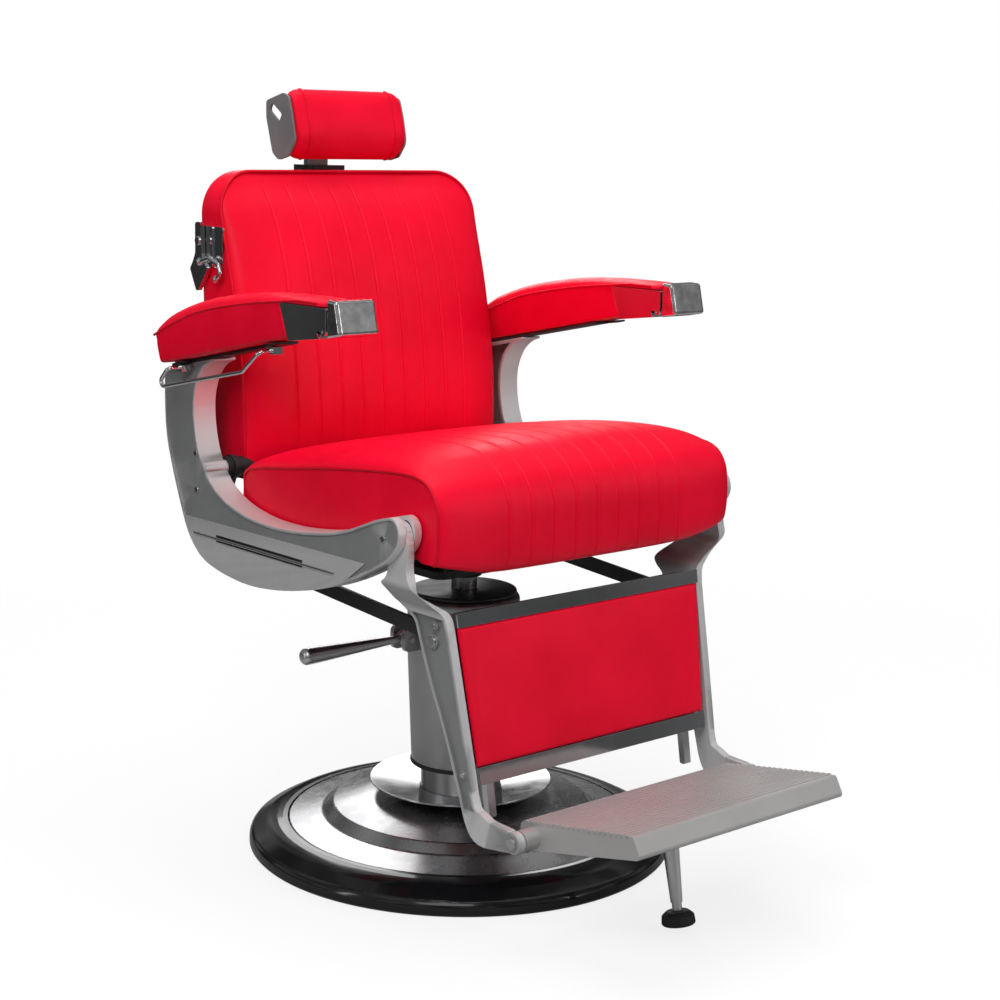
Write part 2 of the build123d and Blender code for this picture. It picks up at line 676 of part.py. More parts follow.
def recline_handle():
    """Squeeze lever with a pointed paddle and a ball-ended finger hook."""
    x = BACK_HALF + 5
    lever = slab([(330, 954, 4), (346, 953, 5), (346, 906, 12), (352, 894, 4), (361, 881, 4),
                  (342, 844, 5), (311, 884, 5), (326, 894, 6), (328, 906, 6)], x, x + 7)
    lever -= rod_x(HANDLE_AXIS, 4 + RUNNING, x - 1, x + 9)
    hook_x = x + 7
    hook = tube_path([(hook_x, 333, 893), (hook_x, 306, 900), (hook_x, 282, 892),
                      (hook_x, 275, 877), (hook_x, 288, 869)], 5, 3.6)
    balls = Pos(hook_x, 288, 869) * Sphere(5.6) + Pos(hook_x, 333, 893) * Sphere(6.2)
    return other_side(lever + hook + balls)


# ================================================================ headrest
def headrest_socket():
    """Bracket on the back's rear face with a rectangular guide for the post."""
    body = block((-34, 34), (355.2, 410), (930, 1040))
    body = rounded(body, 6, body.edges().filter_by(Axis.Z))
    guide = block((-POST_X - 0.1, POST_X + 0.1), (POST_Y[0] - 0.1, POST_Y[1] + 0.1),
                  (900, 1060))
    return body - guide


def headrest_post():
    post = block((-POST_X, POST_X), POST_Y, (900, 1098))
    eye = rod_x(HEADREST_AXIS, 13, -POST_X, POST_X)
    return post + eye - rod_x(HEADREST_AXIS, 6.05, -20, 20)


def headrest_bracket():
    """Fork on the post's eye, the cross plate behind the pad."""
    y, z = HEADREST_AXIS
    near, far = HEADREST_PLATE_Y
    ear = slab([(far - 1, z - 26), (y, z - 15, 12), (y + 15, z, 14), (y, z + 15, 12),
                (far - 1, z + 26)], POST_X + 1, POST_X + 7)
    plate = block((-HEADREST_HALF, HEADREST_HALF), (near, far), (z - 36, z + 40))
    bracket = plate + ear + other_side(ear)
    return bracket - rod_x(HEADREST_AXIS, 6 + RUNNING, -40, 40)


def headrest_pin():
    end = POST_X + 14
    pin = rod_x(HEADREST_AXIS, 6, -end, end)
    for x0 in (-end, end - 5):
        pin += rod_x(HEADREST_AXIS, 9, x0, x0 + 5)
    return pin


def headrest_side_plates():
    """Flat cheeks with a keyhole opening, one at each end of the pad."""
    x = HEADREST_HALF + 0.5
    cheek = slab([(372, 1140, 6), (326, 1152, 10), (313, 1147, 8), (303, 1118, 60),
                  (294, 1078, 20), (313, 1054, 10), (339, 1048, 12), (355, 1059, 12),
                  (372, 1114, 30)], x, x + 4)
    slot = slab([(356, 1137, 5), (363, 1125, 5), (337, 1107, 4), (329, 1119, 4)], x - 1, x + 5)
    return pair(cheek - slot)


def headrest_pad():
    rear = HEADREST_PLATE_Y[0] - 0.4
    return slab([(rear, 1050, 8), (rear, 1158, 5), (318, 1158, 8), (306, 1143, 30),
                 (296, 1113, 60), (290, 1091, 30), (297, 1066, 20), (313, 1050, 12)],
                -HEADREST_HALF, HEADREST_HALF)


# ================================================================ legrest
LEG_SILHOUETTE = flowing([
    (-237, 580), (-246, 564), (-248, 541), (-246, 516), (-254, 494), (-250, 471), (-260, 446),
    (-267, 412), (-291, 300), (-311, 202), (-317, 185), (-330, 182), (-342, 175.5),
    (-384, 174, 2), (-392, 160, 2), (-384, 143.5, 2), (-328, 135), (-307, 141),
    (-294, 160), (-283, 193), (-255, 275), (-221, 350), (-204, 396), (-192, 433),
    (-176, 443), (-163, 455), (-172, 469), (-184, 491), (-204, 501), (-210, 519),
    (-203, 540), (-186, 558), (-194, 575), (-215, 584)])
LEG_FASTENERS = [(-237, 431, 4.5), (*LEG_LINK, 8.5), (-293, 230, 4.5), (*FOOT_PIVOT, 9)]


def leg_outer(z):
    """X of the left leg's outer face below its bend."""
    if z > LEG_BEND_Z:
        return LEG_BEND_X + (z - LEG_BEND_Z) * 0.18
    return LEG_BEND_X - (LEG_BEND_Z - z) * LEG_SPLAY


def leg_strip(x_in, x_out, low, high):
    """Front-view strip that follows the leg's slant, as a solid."""
    face = outline([(leg_outer(low) - x_in, low), (leg_outer(low) - x_out, low),
                    (leg_outer(high) - x_out, high), (leg_outer(high) - x_in, high)])
    return extrude(Plane.XZ.offset(120) * face, amount=320)


def leg_bends():
    """Front-view shape of the leg: neck, inward bend and slanting shin."""
    neck_in, neck_out = NECK_X
    low, shin_x = 120, leg_outer(120)
    face = outline([(neck_out, 600), (neck_out, 495, 20), (257, 450, 24),
                    (LEG_BEND_X, LEG_BEND_Z, 60), (shin_x, low), (shin_x - LEG_T, low),
                    (LEG_BEND_X - LEG_T, LEG_BEND_Z, 60), (242, 450, 24),
                    (neck_in, 484, 16), (neck_in, 600)])
    return extrude(Plane.XZ.offset(120) * face, amount=320)


def leg_frame():
    """Left cast leg: neck in the side frame, bend and long rimmed shin."""
    leg = slab(LEG_SILHOUETTE, 220, 330) & leg_bends()
    field = offset(outline(LEG_SILHOUETTE), amount=-6, kind=Kind.INTERSECTION)
    pocket = extrude(Plane.YZ.offset(220) * field, amount=60, dir=(1, 0, 0))
    leg -= pocket & leg_strip(5, -3, 182, 442)
    leg += rod_x(LEG_PIVOT, 16, NECK_X[0] - 9.8, NECK_X[1])
    for y, z, radius in LEG_FASTENERS:
        face = leg_outer(z + radius) + 0.2
        leg += rod_x((y, z), radius + 2, leg_outer(z) - 8, face)
    foot_x = leg_outer(FOOT_PIVOT[1])
    leg += rod_x(FOOT_PIVOT, 15, foot_x - LEG_T + 1, foot_x)
    leg -= rod_x(LEG_PIVOT, PIVOT_PIN_R + RUNNING, 280, 320)
    leg -= rod_x(LEG_LINK, LINK_PIN_R + 0.05, 220, leg_outer(LEG_LINK[1]) - 2)
    return leg - rod_x(FOOT_PIVOT, FOOT_PIN_R + 0.05, 220, foot_x - 3)


def legrest_plane(height):
    """Plane on the legrest's front face, a given distance up it."""
    tilt = radians(LEG_TILT)
    y = PANEL_FOOT[0] + height * sin(tilt)
    z = PANEL_FOOT[1] + height * cos(tilt)
    return Plane(origin=(0, y, z), x_dir=(1, 0, 0), z_dir=(0, -cos(tilt), sin(tilt)))


def legrest_sheet(low, high, front, back):
    """Tapered sheet on the legrest between two heights and two depths."""
    taper = (PANEL_HALF_TOP - PANEL_HALF_FOOT) / 195.5
    half_low = PANEL_HALF_FOOT + taper * low
    half_high = PANEL_HALF_FOOT + taper * high
    face = outline([(-half_low, low), (half_low, low), (half_high, high), (-half_high, high)])
    sheet = extrude(face, amount=front - back, dir=(0, 0, 1))
    return legrest_plane(0).location * Pos(0, 0, back) * sheet


def legrest_panel():
    return legrest_sheet(0.4, 195.2, 0, -10)


def legrest_frame():
    """Backing sheet welded to two cross tubes, with two straps below it."""
    frame = legrest_sheet(-24, 215, -10.3, -14)
    for centre, radius in (((-279.6, 250), 6), ((-256, 380), 8)):
        end = leg_outer(centre[1] - radius) - LEG_T - 0.3
        frame += rod_x(centre, radius, -end, end)
    strap = slab([(-287, 250), (-275, 250), (-291, 160, 3), (-302, 160, 3)], *STRAP_X)
    return frame + strap + other_side(strap)


def legrest_trim_strips():
    low = legrest_sheet(-24.5, 0, 1.5, -10)
    high = legrest_sheet(195.6, 216, 1.5, -10)
    return Compound(children=[low.solid(), high.solid()])


def leg_fasteners():
    """Domed bolt heads on the outer faces of both legs."""
    heads = []
    for y, z, radius in LEG_FASTENERS:
        face = leg_outer(z + radius) + 0.3
        head = rod_x((y, z), radius, face, face + 3)
        head = rounded(head, 1.4, head.edges().group_by(Axis.X)[-1])
        heads += [head.solid(), other_side(head).solid()]
    return Compound(children=heads)


def link_bar():
    """Flat bar between the back arm and the leg."""
    (ry, rz), (fy, fz) = BACK_LINK, LEG_LINK
    angle = degrees(atan2(rz - fz, ry - fy))
    length = ((ry - fy) ** 2 + (rz - fz) ** 2) ** 0.5
    face = SlotCenterToCenter(length, LINK_H)
    middle = Pos((ry + fy) / 2, (rz + fz) / 2) * Rot(0, 0, angle)
    bar = extrude(Plane.YZ.offset(LINK_X[0]) * middle * face, amount=6, dir=(1, 0, 0))
    bar -= rod_x(BACK_LINK, LINK_PIN_R + RUNNING, 220, 240)
    return bar - rod_x(LEG_LINK, LINK_PIN_R + 0.3, 220, 240)


def back_link_pins():
    pin = rod_x(BACK_LINK, LINK_PIN_R, LINK_X[0] - 3, BACK_ARM_X[1] + 1)
    pin += rod_x(BACK_LINK, 9, LINK_X[0] - 5, LINK_X[0] - 0.5)
    pin += rod_x(BACK_LINK, 9, LINK_X[1] + 0.5, BACK_ARM_X[0] - 0.1)
    return pair(pin)


def leg_link_pins():
    pin = rod_x(LEG_LINK, LINK_PIN_R, LINK_X[0] - 3, leg_outer(LEG_LINK[1]) - 2.4)
    pin += rod_x(LEG_LINK, 9, LINK_X[0] - 5, LINK_X[0] - 0.5)
    pin += rod_x(LEG_LINK, 9, LINK_X[1] + 0.5, leg_outer(LEG_LINK[1] - 9) - LEG_T - 0.1)
    return pair(pin)


# ================================================================ footrest
def footrest():
    """Cast step, hollow underneath, with ribs across its top and down its sides."""
    half = FOOTREST_HALF
    body = slab(FOOTREST_SIDE, -half, half)
    body -= slab([(-374, 100), (-374, 168, 5), (-570, 203, 6), (-588, 170), (-588, 100)],
                 -half + 9, half - 9)
    web = slab([(-372, 130), (-372, 170), (-560, 202), (-578, 186)], 17, 22)
    body += web + other_side(web)
    rear_y, rear_z = FOOTREST_SIDE[1][:2]
    front_y, front_z = FOOTREST_SIDE[2][:2]
    slope = (front_z - rear_z) / (front_y - rear_y)
    for i in range(RIB_COUNT):
        y = rear_y - 12 - RIB_PITCH * i
        top = rear_z + (y - rear_y) * slope
        body += block((-half - 1.2, half + 1.2), (y - 2.6, y + 2.6), (top - 3, top + 1.6))
    boss_end = leg_outer(FOOT_PIVOT[1] - 20) - LEG_T - 0.4
    boss = rod_x(FOOT_PIVOT, 15, half - 6, boss_end)
    body += boss + other_side(boss)
    bore = rod_x(FOOT_PIVOT, FOOT_PIN_R + RUNNING, half - 1, boss_end + 1)
    body -= bore + other_side(bore)
    for x0, x1 in ((16, 24), (-24, -16)):
        body += rod_x(SUPPORT_PIVOT, 12, x0, x1)
        body += slab([(-467, 128), (-467, 190), (-443, 185), (-443, 128)], x0, x1)
    return body - rod_x(SUPPORT_PIVOT, 5.05, -30, 30)


def footrest_pins():
    pin = rod_x(FOOT_PIVOT, FOOT_PIN_R, FOOTREST_HALF, leg_outer(FOOT_PIVOT[1]) - 3.4)
    return pair(pin)


def support_leg():
    """Leg under the step, narrowing downwards, with the stud of its foot."""
    length = SUPPORT_LENGTH
    leg = Pos(0, 0, -length) * extrude(Circle(8.5), amount=length, taper=-2.3)
    leg += Pos(0, 0, -length - 12) * extrude(Circle(7), amount=20)
    eye = Rot(0, 90, 0) * Cylinder(13, 30)
    bore = Rot(0, 90, 0) * Cylinder(5 + RUNNING, 60)
    leg = Rot(-SUPPORT_LEAN, 0, 0) * leg
    return Pos(0, *SUPPORT_PIVOT) * (leg + eye - bore)


def support_axis(distance):
    """Point on the support leg's axis, a given distance below its pivot."""
    lean = radians(SUPPORT_LEAN)
    y, z = SUPPORT_PIVOT
    return (y - distance * sin(lean), z - distance * cos(lean))


def support_foot():
    y, z = support_axis(SUPPORT_LENGTH + 12.4)
    foot = turned([(0, 0), (16, 0, 3), (23, -6, 3), (24.5, -20, 4), (0, -20)])
    return Pos(0, y, z) * Rot(-SUPPORT_LEAN, 0, 0) * foot


def support_leg_pin():
    return rod_x(SUPPORT_PIVOT, 5, -27, 27)


# ================================================================ everything
def all_nodes():
    nodes = {
        "base_ring": base_ring(), "base_plate": base_plate(), "base_bolts": base_bolts(),
        "pump_cylinder": pump_cylinder(), "collar_dish": collar_dish(),
        "cylinder_gland": cylinder_gland(), "ram": ram(),
        "column_cover": column_cover(), "cover_lip": cover_lip(), "cover_cap": cover_cap(),
        "neck_tube": neck_tube(), "lever_bracket": lever_bracket(),
        "lever_bracket_bolts": lever_bracket_bolts(), "lever_pin": lever_pin(),
        "pump_lever": pump_lever(), "cross_bars": cross_bars(),
        "saddle_bracket": saddle_bracket(), "saddle_bolts": saddle_bolts(),
        "seat_buffer": seat_buffer(), "seat_pan": seat_pan(), "seat_cushion": seat_cushion(),
        "frame_screws": frame_screws(), "frame_trim_strips": frame_trim_strips(),
        "frame_pivot_pins": frame_pivot_pins(), "pivot_washers": pivot_washers(),
        "arm_plates": pair(arm_plate()), "arm_ends": pair(arm_end()),
        "ashtray_pins": ashtray_pins(), "towel_rail": towel_rail(),
        "back_frame": back_frame(), "back_shell": back_shell(),
        "back_cushion": back_cushion(), "handle_plate": handle_plate(),
        "recline_handle": recline_handle(),
        "headrest_socket": headrest_socket(), "headrest_post": headrest_post(),
        "headrest_bracket": headrest_bracket(), "headrest_pin": headrest_pin(),
        "headrest_side_plates": headrest_side_plates(), "headrest_pad": headrest_pad(),
        "legrest_frame": legrest_frame(), "legrest_panel": legrest_panel(),
        "legrest_trim_strips": legrest_trim_strips(), "leg_fasteners": leg_fasteners(),
        "link_bars": pair(link_bar()), "back_link_pins": back_link_pins(),
        "leg_link_pins": leg_link_pins(), "footrest": footrest(),
        "footrest_pins": footrest_pins(), "support_leg": support_leg(),
        "support_foot": support_foot(), "support_leg_pin": support_leg_pin(),
    }
    handed = {"side_frame": side_frame(), "arm_pad": arm_pad(), "ashtray": ashtray(),
              "leg_frame": leg_frame()}
    for name, piece in handed.items():
        nodes[name + "_left"] = piece
        nodes[name + "_right"] = other_side(piece)
    return nodes


os.makedirs("parts", exist_ok=True)
for node_name, node_shape in all_nodes().items():
    export_step(node_shape, f"parts/{node_name}.step")
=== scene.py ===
import json
import math

import bmesh
import bpy
import numpy as np
from mathutils import Matrix, Vector

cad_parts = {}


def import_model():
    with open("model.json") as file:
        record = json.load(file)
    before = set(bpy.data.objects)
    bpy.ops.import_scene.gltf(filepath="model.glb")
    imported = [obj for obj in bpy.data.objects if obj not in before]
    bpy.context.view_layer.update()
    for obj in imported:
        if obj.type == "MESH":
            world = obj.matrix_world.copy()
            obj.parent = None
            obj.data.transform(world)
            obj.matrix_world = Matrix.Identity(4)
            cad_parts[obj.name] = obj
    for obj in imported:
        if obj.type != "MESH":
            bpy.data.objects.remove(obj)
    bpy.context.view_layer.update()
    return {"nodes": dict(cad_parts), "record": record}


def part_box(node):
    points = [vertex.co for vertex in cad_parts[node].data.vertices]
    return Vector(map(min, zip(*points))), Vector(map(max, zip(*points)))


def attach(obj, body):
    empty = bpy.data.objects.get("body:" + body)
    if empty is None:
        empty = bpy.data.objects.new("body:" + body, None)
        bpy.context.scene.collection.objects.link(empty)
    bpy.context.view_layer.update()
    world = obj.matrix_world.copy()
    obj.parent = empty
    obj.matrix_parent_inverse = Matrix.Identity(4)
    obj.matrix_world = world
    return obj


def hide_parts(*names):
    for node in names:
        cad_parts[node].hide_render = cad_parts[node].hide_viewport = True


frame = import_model()
MM = 0.001


# ---------------------------------------------------------------- numeric helpers
def catmull(knots, steps=16):
    """Dense smooth curve through the knots, and the index of each knot on it."""
    p = np.array(knots, float)
    p = np.vstack([2 * p[0] - p[1], p, 2 * p[-1] - p[-2]])
    out = []
    marks = []
    for i in range(1, len(p) - 2):
        marks.append(len(out))
        for k in range(steps):
            t = k / steps
            a, b, c, d = p[i - 1], p[i], p[i + 1], p[i + 2]
            out.append(0.5 * (2 * b + (c - a) * t + (2 * a - 5 * b + 4 * c - d) * t * t
                              + (3 * b - a - 3 * c + d) * t ** 3))
    marks.append(len(out))
    out.append(p[-2])
    return np.array(out), marks


def resample(points, count):
    """The polyline resampled to count points at equal spacing."""
    steps = np.linalg.norm(np.diff(points, axis=0), axis=1)
    along = np.concatenate([[0], np.cumsum(steps)])
    want = np.linspace(0, along[-1], count)
    return np.stack([np.interp(want, along, points[:, k]) for k in range(points.shape[1])], 1)


def anchored(knots, anchors, counts):
    """Smooth curve through knots, evenly sampled between the anchor knots."""
    dense, marks = catmull(knots)
    rows = []
    for a, b, count in zip(anchors[:-1], anchors[1:], counts):
        part = resample(dense[marks[a]:marks[b] + 1], count + 1)
        rows.append(part[:-1])
    rows.append(dense[marks[anchors[-1]]][None])
    return np.vstack(rows)


def smooth_value(x, table):
    """Smooth interpolation of a small (x, value) table."""
    xs = np.array([t[0] for t in table], float)
    ys = np.array([t[1] for t in table], float)
    h = np.diff(xs)
    slope = np.diff(ys) / h
    m = np.zeros(len(xs))
    m[1:-1] = np.where(slope[:-1] * slope[1:] > 0,
                       2 * slope[:-1] * slope[1:] / (slope[:-1] + slope[1:] + 1e-12), 0)
    m[0], m[-1] = slope[0], slope[-1]
    x = np.clip(x, xs[0], xs[-1])
    i = np.clip(np.searchsorted(xs, x, side="right") - 1, 0, len(h) - 1)
    t = (x - xs[i]) / h[i]
    return ((1 + 2 * t) * (1 - t) ** 2 * ys[i] + t * (1 - t) ** 2 * h[i] * m[i]
            + t * t * (3 - 2 * t) * ys[i + 1] + t * t * (t - 1) * h[i] * m[i + 1])


# ---------------------------------------------------------------- mesh helpers
def mesh_object(name, verts_mm, faces):
    """New mesh object from points in millimetres."""
    mesh = bpy.data.meshes.new(name)
    mesh.from_pydata([tuple(np.array(v) * MM) for v in verts_mm], [], faces)
    mesh.update()
    obj = bpy.data.objects.new(name, mesh)
    bpy.context.scene.collection.objects.link(obj)
    return obj


class Patchwork:
    """Collects grids of points, in millimetres, into one welded mesh."""

    def __init__(self):
        self.verts = []
        self.faces = []

    def grid(self, points):
        rows, cols = points.shape[:2]
        start = len(self.verts)
        self.verts.extend(points.reshape(-1, 3))
        for i in range(rows - 1):
            for j in range(cols - 1):
                a = start + i * cols + j
                b = a + cols
                self.faces.append((a, a + 1, b + 1, b))

    def build(self, name, weld=0.05):
        """Welds the grids into one closed mesh object."""
        obj = mesh_object(name, self.verts, self.faces)
        bm = bmesh.new()
        bm.from_mesh(obj.data)
        bmesh.ops.remove_doubles(bm, verts=bm.verts, dist=weld * MM)
        bmesh.ops.dissolve_degenerate(bm, edges=bm.edges, dist=weld * MM)
        bmesh.ops.recalc_face_normals(bm, faces=bm.faces)
        bm.to_mesh(obj.data)
        bm.free()
        shade_smooth(obj)
        return obj


def shade_smooth(obj):
    obj.data.polygons.foreach_set("use_smooth", [True] * len(obj.data.polygons))


def coords(obj):
    """Vertex places in millimetres."""
    co = np.zeros(len(obj.data.vertices) * 3, np.float32)
    obj.data.vertices.foreach_get("co", co)
    return co.reshape(-1, 3).astype(float) / MM


def set_coords(obj, co):
    obj.data.vertices.foreach_set("co", (co * MM).astype(np.float32).ravel())
    obj.data.update()


def normals(obj):
    n = np.zeros(len(obj.data.vertices) * 3, np.float32)
    obj.data.vertices.foreach_get("normal", n)
    return n.reshape(-1, 3).astype(float)


def tube(name, points, radius, sides=10):
    """Round cord along points given in millimetres."""
    p = np.array(points, float)
    tangent = np.roll(p, -1, 0) - np.roll(p, 1, 0)
    tangent[0], tangent[-1] = p[1] - p[0], p[-1] - p[-2]
    tangent /= np.linalg.norm(tangent, axis=1)[:, None]
    side = np.cross(tangent[0], (0.3, 0.5, 0.8))
    side /= np.linalg.norm(side)
    verts = []
    for centre, t in zip(p, tangent):
        side = side - t * (side @ t)
        side /= np.linalg.norm(side)
        up = np.cross(t, side)
        for k in range(sides):
            a = 2 * math.pi * k / sides
            verts.append(centre + radius * (math.cos(a) * side + math.sin(a) * up))
    faces = []
    count = len(p)
    for i in range(count - 1):
        a, b = i * sides, (i + 1) * sides
        for k in range(sides):
            after = (k + 1) % sides
            faces.append((a + k, a + after, b + after, b + k))
    faces.append(tuple(range(sides))[::-1])
    faces.append(tuple(range((count - 1) * sides, count * sides)))
    obj = mesh_object(name, verts, faces)
    shade_smooth(obj)
    return obj


def inflate(obj, pins, pressure, cap_mm, frames=14):
    """Swells the free part of a padded cover with a cloth simulation."""
    before = coords(obj)
    group = obj.vertex_groups.new(name="pins")
    for weight in np.unique(pins):
        if weight > 0:
            group.add(np.nonzero(pins == weight)[0].tolist(), float(weight), "REPLACE")
    cloth = obj.modifiers.new("swell", "CLOTH")
    s = cloth.settings
    s.quality = 6
    s.mass = 0.3
    s.tension_stiffness = 25
    s.compression_stiffness = 25
    s.shear_stiffness = 12
    s.bending_stiffness = 3
    s.vertex_group_mass = "pins"
    s.pin_stiffness = 1
    s.use_pressure = True
    s.uniform_pressure_force = pressure
    s.effector_weights.gravity = 0
    scene = bpy.context.scene
    cloth.point_cache.frame_start = 1
    cloth.point_cache.frame_end = frames
    for f in range(1, frames + 1):
        scene.frame_set(f)
    shape = obj.evaluated_get(bpy.context.evaluated_depsgraph_get())
    after = np.zeros(len(before) * 3, np.float32)
    shape.data.vertices.foreach_get("co", after)
    after = after.reshape(-1, 3).astype(float) / MM
    obj.modifiers.remove(cloth)
    scene.frame_set(1)
    move = after - before
    length = np.linalg.norm(move, axis=1)
    length[~np.isfinite(length)] = 0
    scale = np.where(length > cap_mm, cap_mm / np.maximum(length, 1e-9), 1)
    set_coords(obj, before + np.nan_to_num(move) * scale[:, None])


def refine(obj):
    """Applies one level of subdivision."""
    mod = obj.modifiers.new("refine", "SUBSURF")
    mod.levels = 1
    mod.render_levels = 1
    mod.boundary_smooth = "PRESERVE_CORNERS"
    shape = obj.evaluated_get(bpy.context.evaluated_depsgraph_get())
    mesh = bpy.data.meshes.new_from_object(shape)
    obj.modifiers.clear()
    obj.data = mesh
    shade_smooth(obj)


def soft_piece(obj, body, material, *nodes):
    """Gives a cover or cord its body, its finish and the CAD nodes it stands in for."""
    obj.data.materials.clear()
    obj.data.materials.append(material)
    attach(obj, body)
    if nodes:
        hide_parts(*nodes)


# ---------------------------------------------------------------- materials
def node_material(name):
    """Empty node material with a shader and object coordinates."""
    mat = bpy.data.materials.new(name)
    mat.use_nodes = True
    nodes = mat.node_tree.nodes
    nodes.clear()
    out = nodes.new("ShaderNodeOutputMaterial")
    shader = nodes.new("ShaderNodeBsdfPrincipled")
    mat.node_tree.links.new(shader.outputs[0], out.inputs[0])
    where = nodes.new("ShaderNodeTexCoord")
    return mat, nodes, mat.node_tree.links, shader, where.outputs["Object"]


def noise(nodes, links, where, scale, detail, stretch=None):
    """Noise value, stretched along the axes when stretch is given."""
    if stretch is not None:
        mapping = nodes.new("ShaderNodeMapping")
        mapping.inputs["Scale"].default_value = stretch
        links.new(where, mapping.inputs["Vector"])
        where = mapping.outputs[0]
    tex = nodes.new("ShaderNodeTexNoise")
    tex.inputs["Scale"].default_value = scale
    tex.inputs["Detail"].default_value = detail
    links.new(where, tex.inputs["Vector"])
    return tex.outputs["Fac"]


def ramp(nodes, links, fac, low, high, start=0.3, end=0.7):
    """Maps fac from start..end onto low..high."""
    node = nodes.new("ShaderNodeMapRange")
    node.inputs["From Min"].default_value = start
    node.inputs["From Max"].default_value = end
    node.inputs["To Min"].default_value = low
    node.inputs["To Max"].default_value = high
    links.new(fac, node.inputs["Value"])
    return node.outputs[0]


def mix_colour(nodes, links, fac, dark, light):
    node = nodes.new("ShaderNodeMix")
    node.data_type = "RGBA"
    node.inputs["A"].default_value = (*dark, 1)
    node.inputs["B"].default_value = (*light, 1)
    links.new(fac, node.inputs["Factor"])
    return node.outputs["Result"]


def bump(nodes, links, shader, height, strength, depth, below=None, bevel=0.0):
    """Bumps the shader's normal, over a rounded edge or over an earlier bump."""
    node = nodes.new("ShaderNodeBump")
    node.inputs["Strength"].default_value = strength
    node.inputs["Distance"].default_value = depth
    links.new(height, node.inputs["Height"])
    if bevel:
        round_edge = nodes.new("ShaderNodeBevel")
        round_edge.samples = 4
        round_edge.inputs["Radius"].default_value = bevel
        links.new(round_edge.outputs[0], node.inputs["Normal"])
    elif below is not None:
        links.new(below, node.inputs["Normal"])
    links.new(node.outputs[0], shader.inputs["Normal"])
    return node.outputs[0]


def vinyl(name="red_vinyl", dark=(0.74, 0.0, 0.020), light=(0.86, 0.001, 0.028)):
    """Upholstery vinyl: pebbled grain, fine creases and slow colour change."""
    mat, nodes, links, shader, where = node_material(name)
    patches = noise(nodes, links, where, 9, 4)
    colour = mix_colour(nodes, links, ramp(nodes, links, patches, 0, 1), dark, light)
    links.new(colour, shader.inputs["Base Color"])
    links.new(ramp(nodes, links, noise(nodes, links, where, 60, 4), 0.36, 0.5),
              shader.inputs["Roughness"])
    shader.inputs["Specular IOR Level"].default_value = 0.24
    grain = nodes.new("ShaderNodeTexVoronoi")
    grain.feature = "DISTANCE_TO_EDGE"
    grain.inputs["Scale"].default_value = 720
    links.new(where, grain.inputs["Vector"])
    first = bump(nodes, links, shader, grain.outputs["Distance"], 0.12, 0.0004)
    wrinkle = noise(nodes, links, where, 70, 5, (1, 1, 0.5))
    bump(nodes, links, shader, wrinkle, 0.10, 0.0012, below=first)
    return mat


def metal(name, colour, rough, rough_spread=0.06, grain=900, grain_strength=0.05,
          stretch=None, bevel=0.0006, metallic=1.0, patches=6, spread=0.06):
    """Metal with fine grain, rounded edge highlights and uneven roughness."""
    mat, nodes, links, shader, where = node_material(name)
    dark = tuple(c * (1 - spread) for c in colour)
    light = tuple(min(1, c * (1 + spread)) for c in colour)
    slow = noise(nodes, links, where, patches, 4)
    links.new(mix_colour(nodes, links, ramp(nodes, links, slow, 0, 1), dark, light),
              shader.inputs["Base Color"])
    shader.inputs["Metallic"].default_value = metallic
    smudge = noise(nodes, links, where, 35, 6)
    links.new(ramp(nodes, links, smudge, rough - rough_spread / 2, rough + rough_spread / 2),
              shader.inputs["Roughness"])
    fine = noise(nodes, links, where, grain, 2, stretch)
    bump(nodes, links, shader, fine, grain_strength, 0.0002, bevel=bevel)
    return mat


def cast_paint(name, colour, rough=0.42, metallic=0.55):
    """Silver paint on a casting: fine flake, soft orange peel, worn bright edges."""
    mat, nodes, links, shader, where = node_material(name)
    slow = noise(nodes, links, where, 14, 4)
    base = mix_colour(nodes, links, ramp(nodes, links, slow, 0, 1),
                      tuple(c * 0.93 for c in colour), tuple(c * 1.05 for c in colour))
    geometry = nodes.new("ShaderNodeNewGeometry")
    edge = ramp(nodes, links, geometry.outputs["Pointiness"], 0, 1, 0.53, 0.62)
    worn = nodes.new("ShaderNodeMix")
    worn.data_type = "RGBA"
    worn.inputs["B"].default_value = (0.78, 0.78, 0.79, 1)
    links.new(base, worn.inputs["A"])
    links.new(edge, worn.inputs["Factor"])
    links.new(worn.outputs["Result"], shader.inputs["Base Color"])
    shader.inputs["Metallic"].default_value = metallic
    links.new(ramp(nodes, links, noise(nodes, links, where, 90, 3), rough - 0.05, rough + 0.06),
              shader.inputs["Roughness"])
    fleck = noise(nodes, links, where, 1400, 2)
    first = bump(nodes, links, shader, fleck, 0.10, 0.0002, bevel=0.0012)
    peel = noise(nodes, links, where, 260, 2)
    bump(nodes, links, shader, peel, 0.06, 0.0004, below=first)
    return mat


def plain_finish(name, colour, rough, grain=300, strength=0.1, coat=0.0, spread=0.15,
                 bevel=0.0006):
    """Moulded rubber, plastic or paint with a fine surface texture."""
    mat, nodes, links, shader, where = node_material(name)
    slow = noise(nodes, links, where, 11, 5)
    links.new(mix_colour(nodes, links, ramp(nodes, links, slow, 0, 1),
                         tuple(c * (1 - spread) for c in colour),
                         tuple(c * (1 + spread) for c in colour)),
              shader.inputs["Base Color"])
    links.new(ramp(nodes, links, noise(nodes, links, where, 40, 5), rough * 0.85, rough * 1.15),
              shader.inputs["Roughness"])
    shader.inputs["Coat Weight"].default_value = coat
    shader.inputs["Coat Roughness"].default_value = 0.05
    bump(nodes, links, shader, noise(nodes, links, where, grain, 3), strength, 0.0004,
         bevel=bevel)
    return mat


